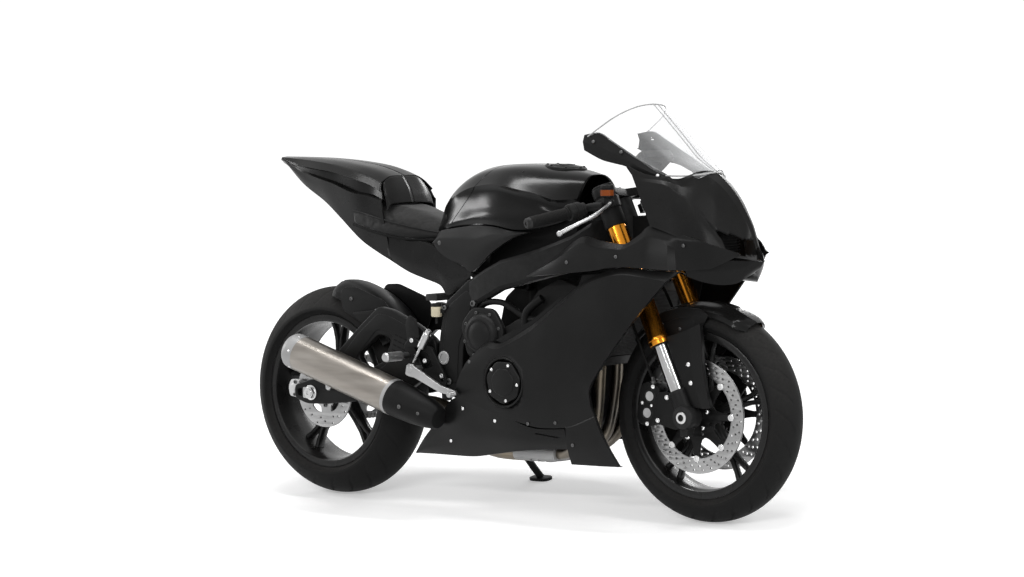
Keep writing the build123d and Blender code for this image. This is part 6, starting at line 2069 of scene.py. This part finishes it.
def makeFrame():
    bm = bmesh.new()
    rings = []
    for x, inner, outer, low, high in frameShape["spar"]:
        ease = 9
        edge = [(inner, low + 4), (inner + 4, low), (outer - ease, low + 2), (outer, low + ease + 4),
                (outer, high - ease - 4), (outer - ease, high - 2), (inner + 4, high), (inner, high - 4)]
        rings.append([Vector((x, -y, z)) for y, z in edge])
    addRings(bm, rings)
    addBlock(bm, frameShape["plate"], 121.5, 149, 16, edge=4)
    # closed box under the tank, between the spars
    box = bmesh.new()
    outline = ((664, 700), (690, 800), (800, 846), (960, 856), (996, 840), (990, 770), (900, 730), (760, 690))
    addBlock(box, outline, -92, 92, 14, edge=3, rounds=1)
    makePiece("airBox", box, "inner_black")
    inset = ((632, 640), (562, 592), (544, 520), (538, 470), (544, 420), (562, 370), (592, 368), (590, 400),
             (596, 482), (634, 560), (652, 612))
    addBlock(bm, inset, 147, 151, 14, edge=1.6)
    bolts = bmesh.new()
    for x, z, radius in ((656, 600, 9), (560, 372, 9), (600, 352, 8), (548, 586, 7)):
        addBolt(bolts, Vector((x, -151, z)), toRight, radius, 6)
    makePiece("frameBolts", bolts, "frame_black", look="bolt_dark", both=True)
    makePiece("frameSpars", bm, "frame_black", replaced=["frame_spars"], both=True, angle=32)
    # the castellated pivot nut in its ring
    nut = bmesh.new()
    place = Vector((540, -151, 440))
    addLathe(nut, [(-2, 20), (2, 20), (3.6, 18.6), (3.6, 12), (1, 11), (1, 4)], place, toRight, 40)
    for turn in evenTurns(6):
        addBolt(nut, onRing(place, 15.4, turn, -3.2), toRight, 2.8, 2.0, "dome")
    makePiece("pivotNuts", nut, "frame_black", look="cast_grey", both=True)


def makeSwingarm():
    bm, bolts, slotShade = bmesh.new(), bmesh.new(), bmesh.new()
    arm = ((-70, 298), (-70, 338), (-20, 352), (40, 366), (113, 446), (200, 522), (278, 583), (330, 574),
           (434, 530), (500, 488), (506, 410), (400, 345), (250, 304), (60, 284), (-20, 282))
    window = ((194, 434), (276, 500), (328, 490), (300, 424), (232, 392))
    slotCut = ((-58, 306), (-58, 326), (-8, 330), (-8, 303))
    addBlock(bm, arm, 117, 141, 14, edge=4, holes=(roundedOutline(window, 16), roundedOutline(slotCut, 8)))
    raised = ((96, 356), (120, 424), (196, 500), (276, 562), (322, 556), (424, 514), (480, 474), (482, 424),
              (400, 368), (250, 330))
    hole = ((182, 424), (272, 516), (340, 502), (310, 412), (230, 376))
    addBlock(bm, raised, 139.4, 142.8, 14, edge=1.6, holes=(roundedOutline(hole, 18),))
    cross = bmesh.new()
    outline = ((470, 412), (470, 470), (500, 486), (560, 480), (574, 440), (560, 400), (506, 396))
    addBlock(cross, outline, -117, 117, 10, edge=3, rounds=1)
    makePiece("swingarmArms", bm, "swingarm_black", replaced=["swingarm"], both=True, angle=34)
    makePiece("swingarmPivot", cross, "swingarm_black")
    # adjuster block, its bolt, and dark plugs in the small round-ended slots of the brace that paint the shade
    # inside them
    for side in (-1, 1):
        matrix = rightMatrix(140.5)
        block = [roundedOutline(((-30, 300), (-30, 332), (14, 334), (14, 299)), 5)]
        addPlate(bolts, block, 6.0, Matrix.Scale(side, 4, (0, 1, 0)) @ matrix, edge=1.2)
        addLathe(bolts, [(0, 4), (14, 4), (14.4, 7), (20, 7)], (-58, side * 129, 316), (-1, 0, 0), 6)
        addBolt(bolts, Vector((72, side * 141, 336)), (0, side, 0), 11, 8, "dome")
    makePiece("chainAdjusters", bolts, "swingarm_black", look="alloy_silver")
    # painted shade: a flat dark plug fills each slot instead of a recess
    for row in range(4):
        for column in range(5):
            x, z = 350 + column * 17 - row * 4, 500 - row * 15 - column * 6
            way = Vector((0.94, 0, -0.34))
            ahead, rise = way * 5.0, Vector((0.34, 0, 0.94)) * 2.2
            corners = []
            for turn in evenTurns(12):
                shift = ahead if cos(turn) > 0 else -ahead
                corners.append(Vector((x, 0, z)) + shift + way * 2.2 * cos(turn) + rise * sin(turn))
            for side in (-1, 1):
                addRings(slotShade, [[corner + Vector((0, side * 140.6, 0)) for corner in corners],
                                 [corner + Vector((0, side * 143.0, 0)) for corner in corners]])
    makePiece("swingarmSlotShade", slotShade, "swingarm_black", look="duct_black")
    axle = bmesh.new()
    for side in (-1, 1):
        addLathe(axle, [(141.2, 12.4), (141.2, 22), (144, 22.6), (145, 20)], rearHub, (0, side, 0), 40)
        addLathe(axle, [(144, 19), (154.5, 19)], rearHub, (0, side, 0), 6)
        addLathe(axle, [(154, 12.4), (157, 12.4), (157, 6), (150, 5)], rearHub, (0, side, 0), 30)
    for start, end in ((-117, -79.4), (108.2, 117)):
        addLathe(axle, [(start, 12.4), (start, 17), (end, 17), (end, 12.4)], rearHub, toLeft, 36, ringed=True)
    addLathe(axle, [(-110, 12.5), (110, 12.5)], rearHub, toLeft, 36)
    makePiece("rearAxle", axle, "axle_steel", replaced=["rear_axle"])


def makeRearCaliper():
    centre, turn = (0, rearHub.z), 176.0
    matrix = rightMatrix(0, centre, turn)
    body, bolts = bmesh.new(), bmesh.new()
    outline = ((84, -28), (118, -26), (127, -6), (127, 8), (120, 26), (84, 28))
    bridge, arm = ((117, -22), (127, -16), (127, 16), (117, 22)), ((40, -15), (92, -15), (92, 15), (40, 15))
    addBlock(body, outline, 53, 71, 7, edge=3, centre=centre, turn=turn)
    addBlock(body, outline, 89, 107, 7, edge=3, centre=centre, turn=turn)
    addBlock(body, bridge, 70, 92, 3, edge=1.4, rounds=1, centre=centre, turn=turn)
    addBlock(body, arm, 99, 116, 6, edge=2, rounds=1, centre=centre, turn=turn)
    addLathe(body, [(104, 16), (108, 15), (109.4, 12)], matrix @ Vector((104, 0, 0)), toRight, 32)
    for across in (-19, 19):
        addBolt(bolts, matrix @ Vector((98, across, 107.4)), toRight, 5.4, 4.4)
    makePiece("rearCaliperBody", body, "caliper_silver", replaced=["rear_caliper"])
    makePiece("rearCaliperBolts", bolts, "caliper_silver", look="bolt_dark")


def makeHugger():
    bm = bmesh.new()
    outer, inner = hoodSection(98.0, 335.0, 4.0, 40.0, 30.0)
    rings = []
    for step in range(41):
        share = step / 40
        turn = radians(30.0 + 54.0 * share)
        narrow = 0.74 + 0.26 * sin(min((1 - share) / 0.12, 1.0) * pi / 2)
        rings.append([onRing(rearHub, r - (1 - narrow) * 10, turn, y * narrow) for y, r in outer + inner])
    addRings(bm, rings)
    flank = ((100, 562), (84, 610), (100, 634), (152, 636), (262, 598), (296, 560), (252, 486), (200, 516))
    mount = ((150, 560), (240, 570), (266, 552), (240, 520), (196, 524))
    for flankStart, mountStart in ((-98.4, -117), (95, 96)):
        addBlock(bm, flank, flankStart, flankStart + 3.4, 12, edge=1.2)
        addBlock(bm, mount, mountStart, mountStart + 21, 10, edge=2, rounds=1)
    makePiece("rearHuggerShell", bm, "guard_black", replaced=["rear_hugger"], look="cover_satin", angle=28)
    makeBolts("huggerBolts", ((132, -98.6, 600), (232, -98.6, 566)), "guard_black", radius=6.4, height=3.2)


def makeShock():
    foot, way = Vector((418, 0, 300)), Vector((0.12, 0, 0.993)).normalized()
    body, spring = bmesh.new(), bmesh.new()
    addLathe(body, [(0, 9), (2, 15), (20, 17), (24, 12), (60, 10), (62, 26), (66, 29), (72, 29), (74, 18),
                    (190, 18.8), (236, 18.8), (237, 29), (246, 30), (252, 24), (296, 22), (306, 15), (309, 8)],
             foot, way, 40)
    addBlock(body, ((433, 601), (433, 621), (477, 621), (477, 601)), -104.5, 104.5, 5, edge=2, rounds=1)
    points = []
    matrix = axisMatrix(foot, way)
    for step in range(97):
        turn = 2 * pi * step / 16
        points.append(tuple(matrix @ Vector((25.5 * cos(turn), 25.5 * sin(turn), 74 + 162 * step / 96))))
    addSweep(spring, points, 5.0, sides=10, steps=1, upright=tuple(way))
    makePiece("shockBody", body, "shock_dark", replaced=["rear_shock"])
    makePiece("shockSpring", spring, "shock_dark", look="frame_black")


def makeRearsets():
    plate, pegs, pedals = bmesh.new(), bmesh.new(), bmesh.new()
    outline = ((545, 400), (500, 470), (420, 500), (392, 470), (420, 420), (470, 380), (540, 350), (560, 370))
    windows = (roundedOutline(((432, 470), (486, 452), (506, 414), (470, 404)), 7), circleLoop((540, 376), 5.5))
    addBlock(plate, outline, 150.2, 161.8, 12, edge=2, holes=windows)
    # heel guard behind the plate
    addBlock(plate, ((404, 480), (398, 540), (412, 562), (440, 548), (452, 494)), 153, 157, 9, edge=1, rounds=1)
    makePiece("rearsetPlates", plate, "plate_black", replaced=["rearset_plates"], both=True)
    peg = Vector((408, 0, 444))
    profile = [(162, 9.6), (188, 9.6), (190, 12)]
    groove = 192
    while groove < 256:
        profile += [(groove, 13.8), (groove + 2.4, 13.8), (groove + 2.8, 12.4), (groove + 4, 12.4)]
        groove += 4.4
    profile += [(258, 13.4), (261.6, 11), (262, 5)]
    addLathe(pegs, profile, peg, toRight, 30)
    makePiece("footPegs", pegs, "alloy_silver", replaced=["foot_pegs"], both=True)
    shape = ((440, 392), (446, 420), (458, 426), (476, 416), (572, 366), (630, 351), (634, 342), (628, 335),
             (572, 344), (474, 384), (456, 386))
    addBlock(pedals, shape, 200.2, 210.8, 6, edge=1.8, holes=(circleLoop((458, 407), 6),))
    addLathe(pedals, [(200.4, 7.8), (209, 7.8), (210, 8), (233, 8), (234, 6.6)], (624, 0, 342), toRight, 24)
    addLathe(pedals, [(162, 8.8), (211, 8.8), (212, 7.4), (212, 3)], (458, 0, 408), toRight, 24)
    for ring in range(5):
        addLathe(pedals, [(213 + ring * 4, 8), (214 + ring * 4, 8.5), (215 + ring * 4, 8)], (624, 0, 342),
                 toRight, 24)
    makePiece("footPedals", pedals, "alloy_silver", replaced=["foot_pedals"], both=True)
    # master cylinder and its rod on the right
    rod = bmesh.new()
    addLathe(rod, [(0, 4), (1, 4.5), (52, 4.5), (53, 4)], (440, -172, 424), (0.5, 0.06, 0.86), 16)
    addLathe(rod, [(0, 9), (1, 12), (48, 12), (50, 9), (60, 8)], (466, -168, 468), (0.5, 0.06, 0.86), 24)
    makePiece("brakeMasterRod", rod, "plate_black", look="alloy_silver")
    places = [(x, -161.8, z) for x, z in ((478, 430), (428, 488), (540, 388))]
    makeBolts("rearsetBolts", places, "plate_black", look="bolt_silver", radius=7, height=5, kind="socket")
    cup, lid = bmesh.new(), bmesh.new()
    foot = (514, -150, 558)
    addLathe(cup, [(0, 8), (1, 14), (4, 15.8), (30, 15.8), (31, 14)], foot, upward, 36)
    addLathe(lid, [(30, 15.9), (39, 15.9), (40, 14), (40, 4)], foot, upward, 24)
    addLathe(lid, [(-20, 3.5), (0, 4)], foot, upward, 12)
    addBlock(lid, ((514, 570), (514, 582), (546, 582), (546, 570)), 148, 152, 3, edge=0.8, rounds=1)
    makePiece("rearFluidCup", cup, "cup_beige", replaced=["rear_fluid_cup"])
    makePiece("rearFluidCap", lid, "cup_beige", look="control_black")


def makeStand():
    pivotPoint = Vector((520, 150, 205))
    foot = Vector((562, 262 * cos(lean), 262 * sin(lean)))
    up = Vector((0, -sin(lean), cos(lean)))
    top = foot + up * 9
    leg = top - pivotPoint
    bm = bmesh.new()
    axis = leg.normalized().cross(Vector((-0.98, -0.02, 0.10))).normalized()
    addLathe(bm, [(-12, 17), (-11, 18), (11, 18), (12, 17), (12, 6.2), (-12, 6.2)], pivotPoint, axis, 36,
             ringed=True)
    addLathe(bm, [(12, 12.5), (24, 11), (leg.length * 0.55, 10.6), (leg.length - 3, 11), (leg.length, 12)],
             pivotPoint, leg, 30)
    addPlate(bm, [bluntLoop(36.5, 22.5, 0.7)], 9.0, axisMatrix(foot, up, (1, 0, 0)), edge=1.6, rounds=2)
    makePiece("sideStandLeg", bm, "stand_black", "side_stand", replaced=["side_stand"])


makeFrame()
makeSwingarm()
makeRearCaliper()
makeHugger()
makeShock()
makeRearsets()
makeStand()
print("frame and rear end")
